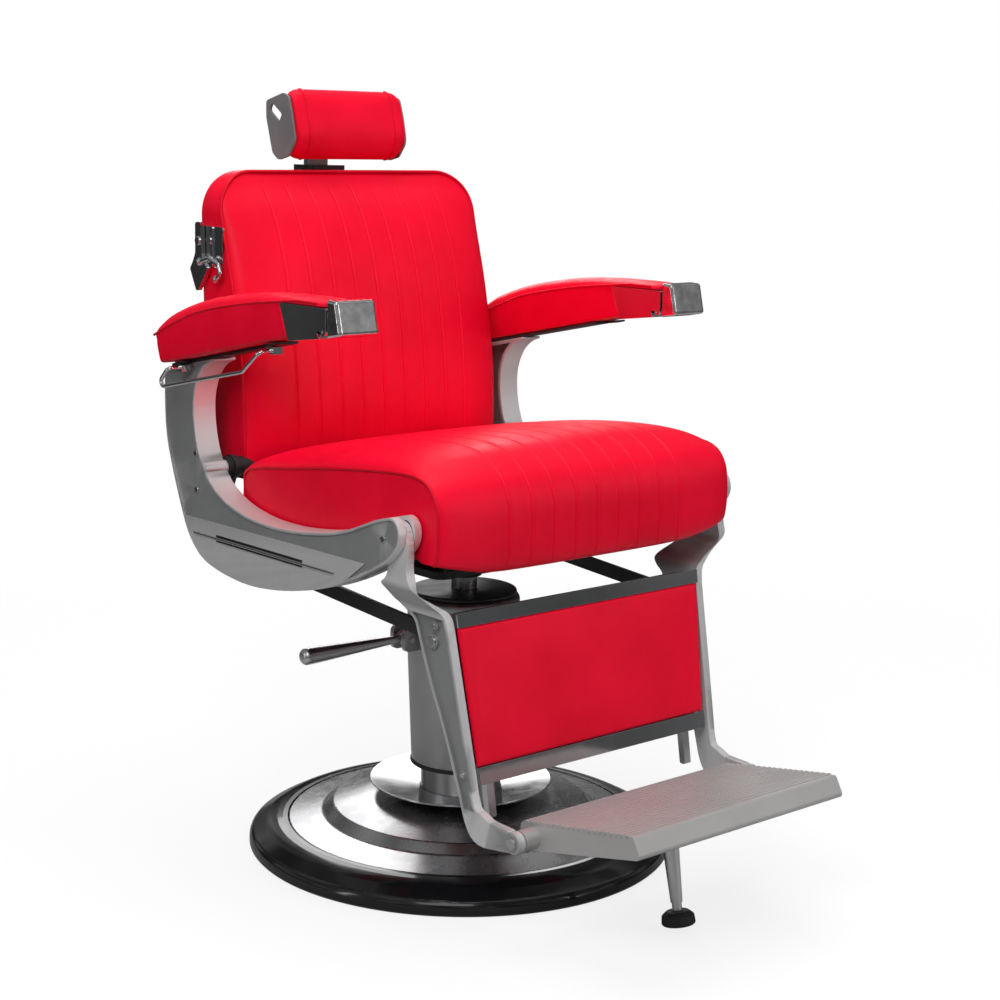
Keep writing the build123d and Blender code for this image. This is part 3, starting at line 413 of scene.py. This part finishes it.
RED = vinyl()
PIPING = vinyl("red_piping", (0.60, 0.0, 0.014), (0.72, 0.0, 0.02))
FINISHES = {
    "vinyl_red": RED,
    "chrome": metal("chrome_plate", (0.74, 0.75, 0.77), 0.09, 0.05, 500, 0.01),
    "cast_silver": cast_paint("silver_paint", (0.35, 0.355, 0.36)),
    "satin_steel": metal("satin_steel", (0.50, 0.50, 0.51), 0.36, 0.1, 420, 0.06,
                         stretch=(1, 1, 0.02)),
    "step_aluminium": metal("cast_aluminium", (0.56, 0.55, 0.545), 0.45, 0.1, 700, 0.12,
                            bevel=0.001, metallic=0.6),
    "black_gloss": plain_finish("gloss_black", (0.006, 0.006, 0.007), 0.16, 120, 0.03, 0.3),
    "black_rubber": plain_finish("black_rubber", (0.014, 0.014, 0.014), 0.62, 500, 0.2),
    "dark_steel": plain_finish("dark_paint", (0.022, 0.022, 0.024), 0.42, 420, 0.1),
    "zinc": metal("zinc_plate", (0.62, 0.62, 0.62), 0.28, 0.1, 600, 0.06),
    "cheek_grey": plain_finish("grey_powder", (0.19, 0.19, 0.195), 0.5, 900, 0.25),
}
# Ashtray chrome: a coarse bump plus colour strongly mottled in small patches, which is a painted
# reflection of mottled surroundings.
CHROME_PAINTED_REFLECTION = metal("chrome_bumped_painted_reflection", (0.78, 0.78, 0.79), 0.13, 0.08, 90, 0.22, patches=60,
                 spread=0.25)
SATIN_DOME = metal("satin_dome", (0.58, 0.58, 0.59), 0.27, 0.08, 420, 0.04)
SATIN_DISH = metal("satin_dish", (0.58, 0.58, 0.59), 0.20, 0.08, 420, 0.03)
SATIN_BAR = metal("satin_bar", (0.72, 0.72, 0.73), 0.3, 0.08, 420, 0.05)
OWN_FINISH = {"ashtray_left": CHROME_PAINTED_REFLECTION, "ashtray_right": CHROME_PAINTED_REFLECTION, "pump_lever": SATIN_BAR,
              "support_leg": SATIN_BAR, "legrest_frame": SATIN_BAR,
              "base_plate": SATIN_DOME, "collar_dish": SATIN_DISH}


def finish_cad_nodes():
    """Gives every CAD node its own finish, or the finish of its material slot."""
    slots = {s["node"]: s["material_slot"] for s in frame["record"]["subparts"]}
    for name, obj in frame["nodes"].items():
        obj.data.materials.clear()
        obj.data.materials.append(OWN_FINISH.get(name, FINISHES[slots[name]]))


# ---------------------------------------------------------------- seat
SEAT_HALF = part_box("seat_cushion")[1].x / MM
SEAT_REAR = 195.5
SEAT_CORNER = 24
CHANNEL = 42
SEAM_EDGE = 168
SEAM_MARGIN = 13
SEAMS = np.arange(-SEAM_EDGE, SEAM_EDGE + 1, CHANNEL)
SEAM_STEPS = np.array([0, 1.3, 2.6, 4.2, 7, 12, 21])
SEAM_PIN = 0.9


def channel_columns(half, edge_count, edge_power=1.6):
    """X positions across a channelled panel, dense beside each seam."""
    xs = set()
    for seam in SEAMS:
        for d in SEAM_STEPS:
            xs.update((round(seam + d, 3), round(seam - d, 3)))
    xs = sorted(x for x in xs if abs(x) <= SEAM_EDGE + SEAM_MARGIN)
    last = xs[-1]
    t = np.linspace(0, 1, edge_count + 1)[1:]
    outer = last + (half - last) * (1 - (1 - t) ** edge_power)
    return np.concatenate([-outer[::-1], xs, outer])


def seam_depth(x):
    """Depth of the sewn crease at each x: a fine fold with a small lip beside it."""
    depth = np.zeros_like(x)
    for seam in SEAMS:
        d = x - seam
        depth += 1.3 * np.exp(-(d / 1.3) ** 2) + 0.4 * np.exp(-(d / 8.0) ** 2)
        depth -= 0.8 * np.exp(-((np.abs(d) - 2.9) / 1.5) ** 2)
    return depth


def round_rear(co, half, rear, radius):
    """Rounds the two rear corners of a plan outline, moving only what stands outside."""
    x = np.abs(co[:, 0]) - (half - radius)
    y = co[:, 1] - (rear - radius)
    far = np.hypot(x, y)
    out = (x > 0) & (y > 0) & (far > radius)
    scale = np.where(out, radius / np.maximum(far, 1e-9), 1)
    co = co.copy()
    co[:, 0] = np.where(out, np.sign(co[:, 0]) * (half - radius + x * scale), co[:, 0])
    co[:, 1] = np.where(out, rear - radius + y * scale, co[:, 1])
    return co


def crown(u, power=4.0):
    """Height of a padded section from 1 in the middle to 0 at its edges."""
    return np.sqrt(np.clip(1 - np.abs(u) ** power, 0, 1))


SEAT_MIDDLE = [(186, 562), (190, 597), (179, 616), (60, 644), (-100, 666), (-207, 668),
               (-262, 643), (-287, 606), (-291, 556), (-289, 516), (-279, 503),
               (-262, 503), (-250, 520), (-247, 561)]
SEAT_SIDE = [(92, 527), (187, 549), (173, 592), (50, 613), (-70, 629), (-190, 640),
             (-244, 636), (-270, 613), (-277, 575), (-275, 537), (-268, 524),
             (-246, 522), (-240, 524), (-236, 527)]
SEAT_ANCHORS = [0, 2, 5, 8, 10, 13]
SEAT_ROWS = [9, 60, 26, 10, 12]
NOSE_FLOOR = 502
NOSE_EASE_X = 186
NOSE_EASE = 0.22


def pin_seams(co, free):
    """Pin weights: none where the cover is free, nearly full along its seams."""
    pins = np.where(free, 0.0, 1.0)
    for seam in SEAMS:
        pins[(np.abs(co[:, 0] - seam) < 1.0) & free] = SEAM_PIN
    return pins


def seat():
    """Seat cover: crowned top, nose, side panels and underside, then its side cords."""
    middle = anchored(SEAT_MIDDLE, SEAT_ANCHORS, SEAT_ROWS)
    side = anchored(SEAT_SIDE, SEAT_ANCHORS, SEAT_ROWS)
    xs = channel_columns(SEAT_HALF, 20)
    u = xs / SEAT_HALF
    work = Patchwork()
    yz = side[:, None] + (middle - side)[:, None] * crown(u)[None, :, None]
    panel = np.concatenate([np.broadcast_to(xs[None, :, None], yz.shape[:2] + (1,)), yz], 2)
    work.grid(panel)
    underside = np.stack([panel[-1] * (1 - t) + panel[0] * t for t in np.linspace(0, 1, 20)])
    work.grid(underside)
    last = sum(SEAT_ROWS[:4])
    upper = side[:last + 1]
    lower = resample(np.vstack([side[:1], side[:last - 1:-1]]), last + 1)
    for sign in (-1, 1):
        rows = []
        for t in np.linspace(0, 1, 14):
            bulge = 2.6 * math.sin(math.pi * t) * np.sin(math.pi * np.linspace(0, 1, last + 1))
            yz = upper * (1 - t) + lower * t
            x = sign * (SEAT_HALF + bulge)
            rows.append(np.concatenate([x[:, None], yz], 1))
        work.grid(np.array(rows))
    obj = work.build("seat_cover")
    co = coords(obj)
    free = (co[:, 2] > 566) & (np.abs(co[:, 0]) < SEAT_HALF - 2) & (co[:, 1] < 178)
    free |= (co[:, 1] < -262) & (co[:, 2] > 510) & (np.abs(co[:, 0]) < SEAT_HALF - 2)
    inflate(obj, pin_seams(co, free), 4, 5)
    n = normals(obj)
    co = coords(obj)
    top = np.clip((n[:, 2] + np.maximum(-n[:, 1], 0)) * 1.4, 0, 1) * (co[:, 1] < 180)
    co = co - n * (seam_depth(co[:, 0]) * top)[:, None]
    over_links = NOSE_FLOOR + NOSE_EASE * np.maximum(np.abs(co[:, 0]) - NOSE_EASE_X, 0)
    co[:, 2] = np.maximum(co[:, 2], over_links)
    set_coords(obj, round_rear(co, SEAT_HALF + 1.5, SEAT_REAR, SEAT_CORNER))
    refine(obj)
    soft_piece(obj, "chair", RED, "seat_cushion")
    for sign, side_name in ((-1, "right"), (1, "left")):
        edge = resample(side[:last + 1], 150)
        path = np.concatenate([np.full((len(edge), 1), sign * (SEAT_HALF + 0.4)), edge], 1)
        path = round_rear(path, SEAT_HALF + 1.0, SEAT_REAR, SEAT_CORNER)
        soft_piece(tube("seat_piping_" + side_name, path, 2.5), "chair", PIPING)


# ---------------------------------------------------------------- back
BACK_HALF = 250.0
BACK_TOP = 1031.0
BACK_CORNER = 66.0
BACK_FOOT = 567.0
BACK_SHOULDER = BACK_TOP - BACK_CORNER
BACK_PIPE = [(566, 228), (640, 229), (710, 233), (835, 255), (950, 286), (1010, 301),
             (1031, 312)]
BACK_FACE = [(566, 216), (580, 207), (610, 202), (650, 201), (723, 206), (822, 219),
             (902, 239), (945, 256), (978, 275), (1006, 298), (1031, 316)]
BACK_REAR = [(566, 303), (606, 315), (681, 332), (829, 350), (950, 353), (1010, 353),
             (1031, 349)]


def back_half_width(z):
    up = np.clip(z - BACK_SHOULDER, 0, BACK_CORNER)
    return BACK_HALF - BACK_CORNER + np.sqrt(np.clip(BACK_CORNER ** 2 - up ** 2, 0, None))


def back():
    """Back cover: crowned front, wrapped sides, rear panel and bottom, then its cords."""
    zs_low = np.linspace(BACK_FOOT, BACK_SHOULDER, 52)
    a = np.linspace(0, 1, 26)[1:] * math.pi / 2
    zs = np.concatenate([zs_low, BACK_SHOULDER + BACK_CORNER * np.sin(a)])
    flat = channel_columns(BACK_HALF, 18)
    channels = SEAM_EDGE + SEAM_MARGIN
    edge = np.abs(flat) > channels - 0.1
    work = Patchwork()
    rows = []
    for z in zs:
        half = float(back_half_width(z))
        x = flat.copy()
        stretch = (half - channels) / (BACK_HALF - channels)
        x[edge] = np.sign(x[edge]) * (channels + (np.abs(x[edge]) - channels) * stretch)
        pipe = smooth_value(z, BACK_PIPE)
        face = smooth_value(z, BACK_FACE)
        c = crown(x / half, 3.6)
        rows.append(np.stack([x, pipe + (face - pipe) * c, np.full_like(x, z)], 1))
    work.grid(np.array(rows))
    outline_z = np.concatenate([zs, zs[::-1]])
    half = back_half_width(zs)
    outline_x = np.concatenate([-half, half[::-1]])
    lid = []
    for t in np.linspace(0, 1, 16):
        y = smooth_value(outline_z, BACK_PIPE) * (1 - t) + smooth_value(outline_z, BACK_REAR) * t
        out = 1.6 * math.sin(math.pi * t)
        tuck = 9 * max(0.0, (t - 0.86) / 0.14) ** 2
        grow = out - tuck
        nx = np.clip((np.abs(outline_x) - (BACK_HALF - BACK_CORNER)) / BACK_CORNER, 0, 1)
        nz = np.clip((outline_z - BACK_SHOULDER) / BACK_CORNER, 0, 1)
        nx = np.where(outline_z < BACK_SHOULDER, 1, nx)
        x = outline_x + np.sign(outline_x) * nx * grow
        lid.append(np.stack([x, y, outline_z + nz * grow], 1))
    lid = np.array(lid)
    work.grid(lid)
    ring = lid[-1]
    count = len(zs)
    left, right = ring[:count], ring[:count - 1:-1]
    cols = []
    for t in np.linspace(0, 1, 40):
        row = left * (1 - t) + right * t
        swell = 5 * math.sin(math.pi * t) ** 0.5
        up = np.clip((row[:, 2] - BACK_FOOT) / (BACK_TOP - BACK_FOOT), 0, 1)
        row[:, 1] += swell * np.sin(math.pi * up) ** 0.5
        cols.append(row)
    work.grid(np.array(cols))
    front_low = rows[0]
    rear_low = resample(np.array(cols)[:, 0], len(front_low))
    bottom = np.stack([front_low * (1 - t) + rear_low * t for t in np.linspace(0, 1, 10)])
    work.grid(bottom)
    obj = work.build("back_cover", 0.6)
    co = coords(obj)
    pipe_y = smooth_value(co[:, 2], BACK_PIPE)
    free = (co[:, 1] < pipe_y - 2) & (co[:, 2] < BACK_TOP - 6) & (co[:, 2] > BACK_FOOT + 6)
    inflate(obj, pin_seams(co, free), 4, 5)
    n = normals(obj)
    co = coords(obj)
    fade = np.clip((1015 - co[:, 2]) / 70, 0, 1)
    front = np.clip(-n[:, 1] * 1.5, 0, 1) * (co[:, 1] < pipe_y + 4)
    set_coords(obj, co - n * (seam_depth(co[:, 0]) * front * fade)[:, None])
    refine(obj)
    soft_piece(obj, "back", RED, "back_cushion", "back_shell")
    y = smooth_value(outline_z, BACK_PIPE)
    path = resample(np.stack([outline_x * 1.003, y - 0.5, outline_z], 1), 260)
    soft_piece(tube("back_piping", path, 2.6), "back", PIPING)
    soft_piece(tube("back_rear_piping", resample(ring + (0, 0.6, 0), 240), 2.3), "back", PIPING)


# ---------------------------------------------------------------- arms
ARM_IN, ARM_OUT = 289.0, 355.0
ARM_TIP = -112
TONGUE_FLOOR = 861.3
ARM_PIPE = [(-112, 866), (-62, 866.5), (-9, 862), (71, 853), (195, 831), (270, 806),
            (318, 786)]
ARM_TOP = [(-112, 870.5), (-62, 871.5), (-20, 871.5), (54, 869), (164, 855), (271, 827),
           (312, 803), (319, 789)]


def arm_floor(y):
    """Height of the sloping underside of the pad."""
    return 744 - (y - 302) * 0.208


def arm_section(foot_y, foot_z, top_y, width_in=0.0):
    """One closed loop round the pad: outer side, crowned top and inner side."""
    pipe = float(smooth_value(top_y, ARM_PIPE))
    top = float(smooth_value(top_y, ARM_TOP))
    half = (ARM_OUT - ARM_IN) / 2 - width_in
    mid = (ARM_OUT + ARM_IN) / 2
    loop = []
    for t in np.linspace(0, 1, 9)[:-1]:
        pull = 1.5 * math.sin(math.pi * t)
        loop.append((mid + half - 1.5 + pull, foot_y + (top_y - foot_y) * t,
                     foot_z + (pipe - foot_z) * t))
    for t in np.linspace(-1, 1, 23):
        rise = (1 - abs(t) ** 2.6) ** 0.6
        loop.append((mid - half * t, top_y, pipe + (top - pipe) * rise))
    for t in np.linspace(1, 0, 9)[1:]:
        pull = 1.5 * math.sin(math.pi * t)
        loop.append((mid - half + 1.5 - pull, foot_y + (top_y - foot_y) * t,
                     foot_z + (pipe - foot_z) * t))
    for t in np.linspace(0, 1, 9)[1:-1]:
        loop.append((mid - half + 1.5 + 2 * (half - 1.5) * t, foot_y, foot_z))
    return np.array(loop)


def arm_pad(sign, side_name):
    """Arm pad cover lofted from its front tongue to its rear end, and its two cords."""
    work = Patchwork()
    sections = []
    for t in np.linspace(0, 1, 8):
        tip = 16 * (1 - math.cos(t * math.pi / 2))
        sections.append(arm_section(ARM_TIP + tip, TONGUE_FLOOR, ARM_TIP + tip,
                                    16 * (1 - math.sin(t * math.pi / 2)) + 0.3))
    for y in np.linspace(-90, -14, 16):
        sections.append(arm_section(y, TONGUE_FLOOR, y))
    sections.append(arm_section(-10.5, 861.2, -10))
    for t in np.linspace(0.15, 1, 7):
        sections.append(arm_section(-10.5 - 19.5 * t, 861.2 - 49.7 * t, -9 + 4 * t))
    for y in np.linspace(-22, 300, 52):
        lean = max(0.0, (y + 22) / 322)
        sections.append(arm_section(y, arm_floor(y) + 0.6, max(-4.5, y + 10 * lean)))
    sections.append(arm_section(302.5, 747, 313, 0.8))
    sections.append(arm_section(304, 752, 317.5, 3))
    loops = np.array(sections)
    work.grid(np.concatenate([loops, loops[:, :1]], 1))
    for end in (loops[0], loops[-1]):
        centre = end.mean(0)
        work.grid(np.array([np.vstack([end, end[:1]]) * (1 - t) + centre * t
                            for t in (0, 0.35, 0.7, 1)]))
    for row in work.verts:
        row[0] *= sign
    obj = work.build("arm_pad_cover_" + side_name, 0.3)
    co = coords(obj)
    top = smooth_value(co[:, 1], ARM_PIPE)
    inner = (np.abs(co[:, 0]) > ARM_IN + 2) & (np.abs(co[:, 0]) < ARM_OUT - 2)
    free = (co[:, 2] > top + 1) & inner & (co[:, 1] < 306) & (co[:, 1] > -98)
    sides = ~inner & (co[:, 2] < top - 5) & (co[:, 2] > arm_floor(co[:, 1]) + 6)
    sides &= (co[:, 1] > -2) & (co[:, 1] < 296)
    inflate(obj, np.where(free | sides, 0.0, 1.0), 3, 2.5, 10)
    refine(obj)
    soft_piece(obj, "chair", RED, "arm_pad_" + side_name)
    ys = np.linspace(-97, 317, 90)
    z = smooth_value(ys, ARM_PIPE)
    for x, part in ((ARM_OUT - 0.6, "outer"), (ARM_IN + 0.6, "inner")):
        path = np.stack([np.full_like(ys, sign * x), ys, z], 1)
        soft_piece(tube(f"arm_piping_{part}_{side_name}", path, 1.9), "chair", PIPING)


# ---------------------------------------------------------------- headrest
HEAD_HALF = 106.5
HEAD_REAR = 328.4
HEAD_CENTRE = (311.0, 1104.0)
HEAD_LOOP = [(328.4, 1058), (328.4, 1105), (328.2, 1150), (319, 1158.5), (307, 1148),
             (298, 1120), (290.5, 1091), (295.5, 1068), (308, 1053), (321, 1050)]


def headrest():
    """Headrest cover: the side outline carried across, with rounded ends and cords."""
    dense, _ = catmull(HEAD_LOOP + HEAD_LOOP[:1])
    loop = resample(dense, 65)[:-1]
    centre = np.array(HEAD_CENTRE)
    work = Patchwork()
    rows = []
    for x in np.concatenate([[-1], np.linspace(-0.985, 0.985, 60), [1]]):
        edge = max(0.0, (abs(x) - 0.8) / 0.2)
        shrink = 1 - 0.2 * (1 - math.sqrt(1 - min(edge, 1) ** 2))
        yz = centre + (loop - centre) * shrink
        yz = np.where(loop[:, :1] > HEAD_REAR - 2, np.stack([loop[:, 0], yz[:, 1]], 1), yz)
        rows.append(np.concatenate([np.full((len(yz), 1), x * HEAD_HALF), yz], 1))
    rows = np.array(rows)
    work.grid(np.concatenate([rows, rows[:, :1]], 1))
    for end in (rows[0], rows[-1]):
        ring = np.vstack([end, end[:1]])
        middle = end.mean(0)
        work.grid(np.array([ring * (1 - t) + middle * t for t in (0, 0.25, 0.5, 0.75, 1)]))
    obj = work.build("headrest_cover", 0.2)
    co = coords(obj)
    free = (np.abs(co[:, 0]) < HEAD_HALF - 20) & (co[:, 1] < HEAD_REAR - 5)
    inflate(obj, np.where(free, 0.0, 1.0), 3, 3, 10)
    refine(obj)
    soft_piece(obj, "headrest", RED, "headrest_pad")
    in_front = loop[:, 0] < HEAD_REAR - 1.5
    start = int(np.argmax(~in_front)) + 1
    for sign, side_name in ((-1, "r"), (1, "l")):
        for part, x, grow in (("inner", HEAD_HALF - 22, 1.0), ("outer", HEAD_HALF - 1.0, 0.83)):
            ring = np.roll(centre + (loop - centre) * grow, -start, 0)
            ring = ring[np.roll(in_front, -start)]
            path = np.concatenate([np.full((len(ring), 1), sign * x), ring], 1)
            cord = tube(f"headrest_piping_{part}_{side_name}", resample(path, 90), 1.3)
            soft_piece(cord, "headrest", PIPING)


# ---------------------------------------------------------------- legrest panel
PANEL_TILT = 10
PANEL_FOOT = (0, -301, 238.3)
PANEL_HEIGHT = 194.4
PANEL_HALF_FOOT = 225.5
PANEL_HALF_TOP = 237.6
PANEL_EDGE = 7


def legrest_panel():
    """Legrest cover: a flat pad, wider at the top, with softly rounded edges."""
    tilt = math.radians(PANEL_TILT)
    up = np.array([0, math.sin(tilt), math.cos(tilt)])
    out = np.array([0, -math.cos(tilt), math.sin(tilt)])
    foot = np.array(PANEL_FOOT)
    work = Patchwork()
    us = np.sin(np.linspace(-1, 1, 80) * math.pi / 2)
    vs = (1 - np.cos(np.linspace(0, 1, 50) * math.pi)) / 2
    rows = []
    for v in vs:
        height = 0.6 + PANEL_HEIGHT * v
        half = PANEL_HALF_FOOT + (PANEL_HALF_TOP - PANEL_HALF_FOOT) * height / 195.5 - 0.4
        inset = np.minimum((1 - np.abs(us)) * half, min(v, 1 - v) * PANEL_HEIGHT)
        edge = np.minimum(1, inset / PANEL_EDGE)
        lift = -2.2 + 3.6 * np.sqrt(np.clip(1 - (1 - edge) ** 2, 0, 1))
        rows.append(foot + up * height + np.outer(us * half, (1, 0, 0)) + np.outer(lift, out))
    front = np.array(rows)
    work.grid(front)
    rim = np.concatenate([front[0], front[1:, -1], front[-1, -2::-1], front[-2::-1, 0]])
    rear = rim - out * 7.5
    work.grid(np.array([rim, rear]))
    middle = rear.mean(0)
    work.grid(np.array([rear, rear * 0.5 + middle * 0.5, rear * 0.02 + middle * 0.98]))
    obj = work.build("legrest_pad", 0.02)
    co = coords(obj)
    height = (co - foot) @ up
    free = (np.abs(co[:, 0]) < 212) & (height > 10) & (height < 186)
    free &= (co - foot) @ out > 0
    inflate(obj, np.where(free, 0.0, 1.0), 2.5, 2.5, 10)
    refine(obj)
    soft_piece(obj, "legrest", RED, "legrest_panel")


# ---------------------------------------------------------------- stage
def stage():
    """Pale floor that keeps only a soft contact shadow and melts into the backdrop."""
    bpy.ops.mesh.primitive_circle_add(vertices=96, radius=9, fill_type="NGON")
    floor = bpy.context.object
    floor.name = "floor"
    mat, nodes, links, shader, where = node_material("pale_floor")
    shader.inputs["Base Color"].default_value = (0.9, 0.9, 0.9, 1)
    shader.inputs["Roughness"].default_value = 0.9
    shader.inputs["Specular IOR Level"].default_value = 0.1
    glow = nodes.new("ShaderNodeEmission")
    glow.inputs["Color"].default_value = (1, 1, 1, 1)
    seen = nodes.new("ShaderNodeMixShader")
    seen.inputs["Fac"].default_value = 0.2
    links.new(glow.outputs[0], seen.inputs[1])
    links.new(shader.outputs[0], seen.inputs[2])
    dull = nodes.new("ShaderNodeBsdfDiffuse")
    dull.inputs["Color"].default_value = (0.3, 0.3, 0.3, 1)
    path = nodes.new("ShaderNodeLightPath")
    split = nodes.new("ShaderNodeMixShader")
    links.new(path.outputs["Is Camera Ray"], split.inputs["Fac"])
    links.new(dull.outputs[0], split.inputs[1])
    links.new(seen.outputs[0], split.inputs[2])
    length = nodes.new("ShaderNodeVectorMath")
    length.operation = "LENGTH"
    links.new(where, length.inputs[0])
    clear = nodes.new("ShaderNodeBsdfTransparent")
    fade = nodes.new("ShaderNodeMixShader")
    links.new(ramp(nodes, links, length.outputs["Value"], 1, 0, 1.0, 2.2), fade.inputs["Fac"])
    links.new(clear.outputs[0], fade.inputs[1])
    links.new(split.outputs[0], fade.inputs[2])
    out = [n for n in nodes if n.type == "OUTPUT_MATERIAL"][0]
    links.new(fade.outputs[0], out.inputs[0])
    floor.data.materials.append(mat)


def world():
    """White backdrop for the camera; a banded grey studio for light and reflections."""
    sky = bpy.data.worlds.new("studio")
    bpy.context.scene.world = sky
    sky.use_nodes = True
    nodes, links = sky.node_tree.nodes, sky.node_tree.links
    nodes.clear()
    out = nodes.new("ShaderNodeOutputWorld")
    light = nodes.new("ShaderNodeBackground")
    back = nodes.new("ShaderNodeBackground")
    back.inputs["Color"].default_value = (1, 1, 1, 1)
    where = nodes.new("ShaderNodeTexCoord")
    split = nodes.new("ShaderNodeSeparateXYZ")
    links.new(where.outputs["Generated"], split.inputs[0])
    shift = nodes.new("ShaderNodeMapRange")
    shift.inputs["From Min"].default_value = -1
    links.new(split.outputs["Z"], shift.inputs["Value"])
    shade = nodes.new("ShaderNodeValToRGB")
    links.new(shift.outputs[0], shade.inputs["Fac"])
    bands = [(0.0, 0.10), (0.44, 0.14), (0.50, 0.10), (0.56, 0.16), (0.64, 0.50),
             (0.78, 0.28), (1.0, 0.70)]
    points = shade.color_ramp.elements
    points[0].position, points[1].position = bands[0][0], bands[-1][0]
    for place, _ in bands[1:-1]:
        points.new(place)
    for point, (_, grey) in zip(points, bands):
        point.color = (grey, grey, grey, 1)
    patches = noise(nodes, links, where.outputs["Generated"], 1.5, 2, (3.2, 3.2, 0.5))
    uneven = nodes.new("ShaderNodeVectorMath")
    uneven.operation = "SCALE"
    links.new(shade.outputs["Color"], uneven.inputs[0])
    links.new(ramp(nodes, links, patches, 0.2, 1.9, 0.42, 0.60), uneven.inputs["Scale"])
    links.new(uneven.outputs[0], light.inputs["Color"])
    light.inputs["Strength"].default_value = 0.5
    path = nodes.new("ShaderNodeLightPath")
    mix = nodes.new("ShaderNodeMixShader")
    links.new(path.outputs["Is Camera Ray"], mix.inputs["Fac"])
    links.new(light.outputs[0], mix.inputs[1])
    links.new(back.outputs[0], mix.inputs[2])
    links.new(mix.outputs[0], out.inputs[0])


def softbox(name, place, target, size, power, mirrored=True):
    """Rectangular area light aimed at target; unmirrored ones stay out of reflections."""
    light = bpy.data.lights.new(name, "AREA")
    light.shape = "RECTANGLE"
    light.size, light.size_y = size
    light.energy = power
    obj = bpy.data.objects.new(name, light)
    obj.location = place
    obj.visible_glossy = mirrored
    aim = Vector(target) - Vector(place)
    obj.rotation_euler = aim.to_track_quat("-Z", "Y").to_euler()
    bpy.context.scene.collection.objects.link(obj)


def lights():
    """Large boxes light the chair; narrow ones draw the bright lines in the metal."""
    softbox("key", (-2.6, -1.6, 2.9), (0, 0, 0.6), (1.8, 1.8), 66, False)
    softbox("sheen", (-2.2, -2.0, 2.8), (0, 0, 0.6), (1.8, 1.8), 20)
    softbox("fill", (2.4, -2.6, 1.6), (0, 0, 0.6), (1.6, 2.2), 36, False)
    softbox("top", (0.2, 0.4, 3.4), (0, 0, 0.5), (2.4, 2.4), 60, False)
    softbox("rear", (1.8, 2.6, 2.0), (0, 0, 0.7), (1.6, 1.6), 24)
    softbox("strip_front", (1.2, -3.4, 1.3), (0, 0, 0.6), (0.25, 2.4), 9)
    softbox("strip_side", (-3.4, 0.6, 1.2), (0, 0, 0.6), (0.3, 2.2), 7)
    softbox("strip_top", (-0.4, -0.6, 3.2), (0, 0, 0.4), (0.5, 1.6), 6)


CAMERA_TURN = (-41.50, 10.58, 1.22)
CAMERA_PLACE = (-1.9411, -2.2736, 1.1024)
CAMERA_LENS = 71.39


def camera():
    """Camera from the sitter's front right, a little above the arms."""
    azimuth, pitch, roll = (math.radians(a) for a in CAMERA_TURN)
    ahead = Vector((-math.sin(azimuth) * math.cos(pitch),
                    math.cos(azimuth) * math.cos(pitch), -math.sin(pitch)))
    right = Vector((math.cos(azimuth), math.sin(azimuth), 0))
    up = right.cross(ahead)
    turned_right = right * math.cos(roll) + up * math.sin(roll)
    turned_up = up * math.cos(roll) - right * math.sin(roll)
    data = bpy.data.cameras.new("camera")
    data.lens = CAMERA_LENS
    data.sensor_width = 36
    data.clip_end = 60
    obj = bpy.data.objects.new("camera", data)
    matrix = Matrix((turned_right, turned_up, -ahead)).transposed().to_4x4()
    matrix.translation = Vector(CAMERA_PLACE)
    obj.matrix_world = matrix
    bpy.context.scene.collection.objects.link(obj)
    bpy.context.scene.camera = obj


# ---------------------------------------------------------------- assembly
finish_cad_nodes()
seat()
back()
for arm_sign, arm_side in ((-1, "right"), (1, "left")):
    arm_pad(arm_sign, arm_side)
headrest()
legrest_panel()
stage()
world()
lights()
camera()
bpy.context.scene.view_settings.view_transform = "Standard"
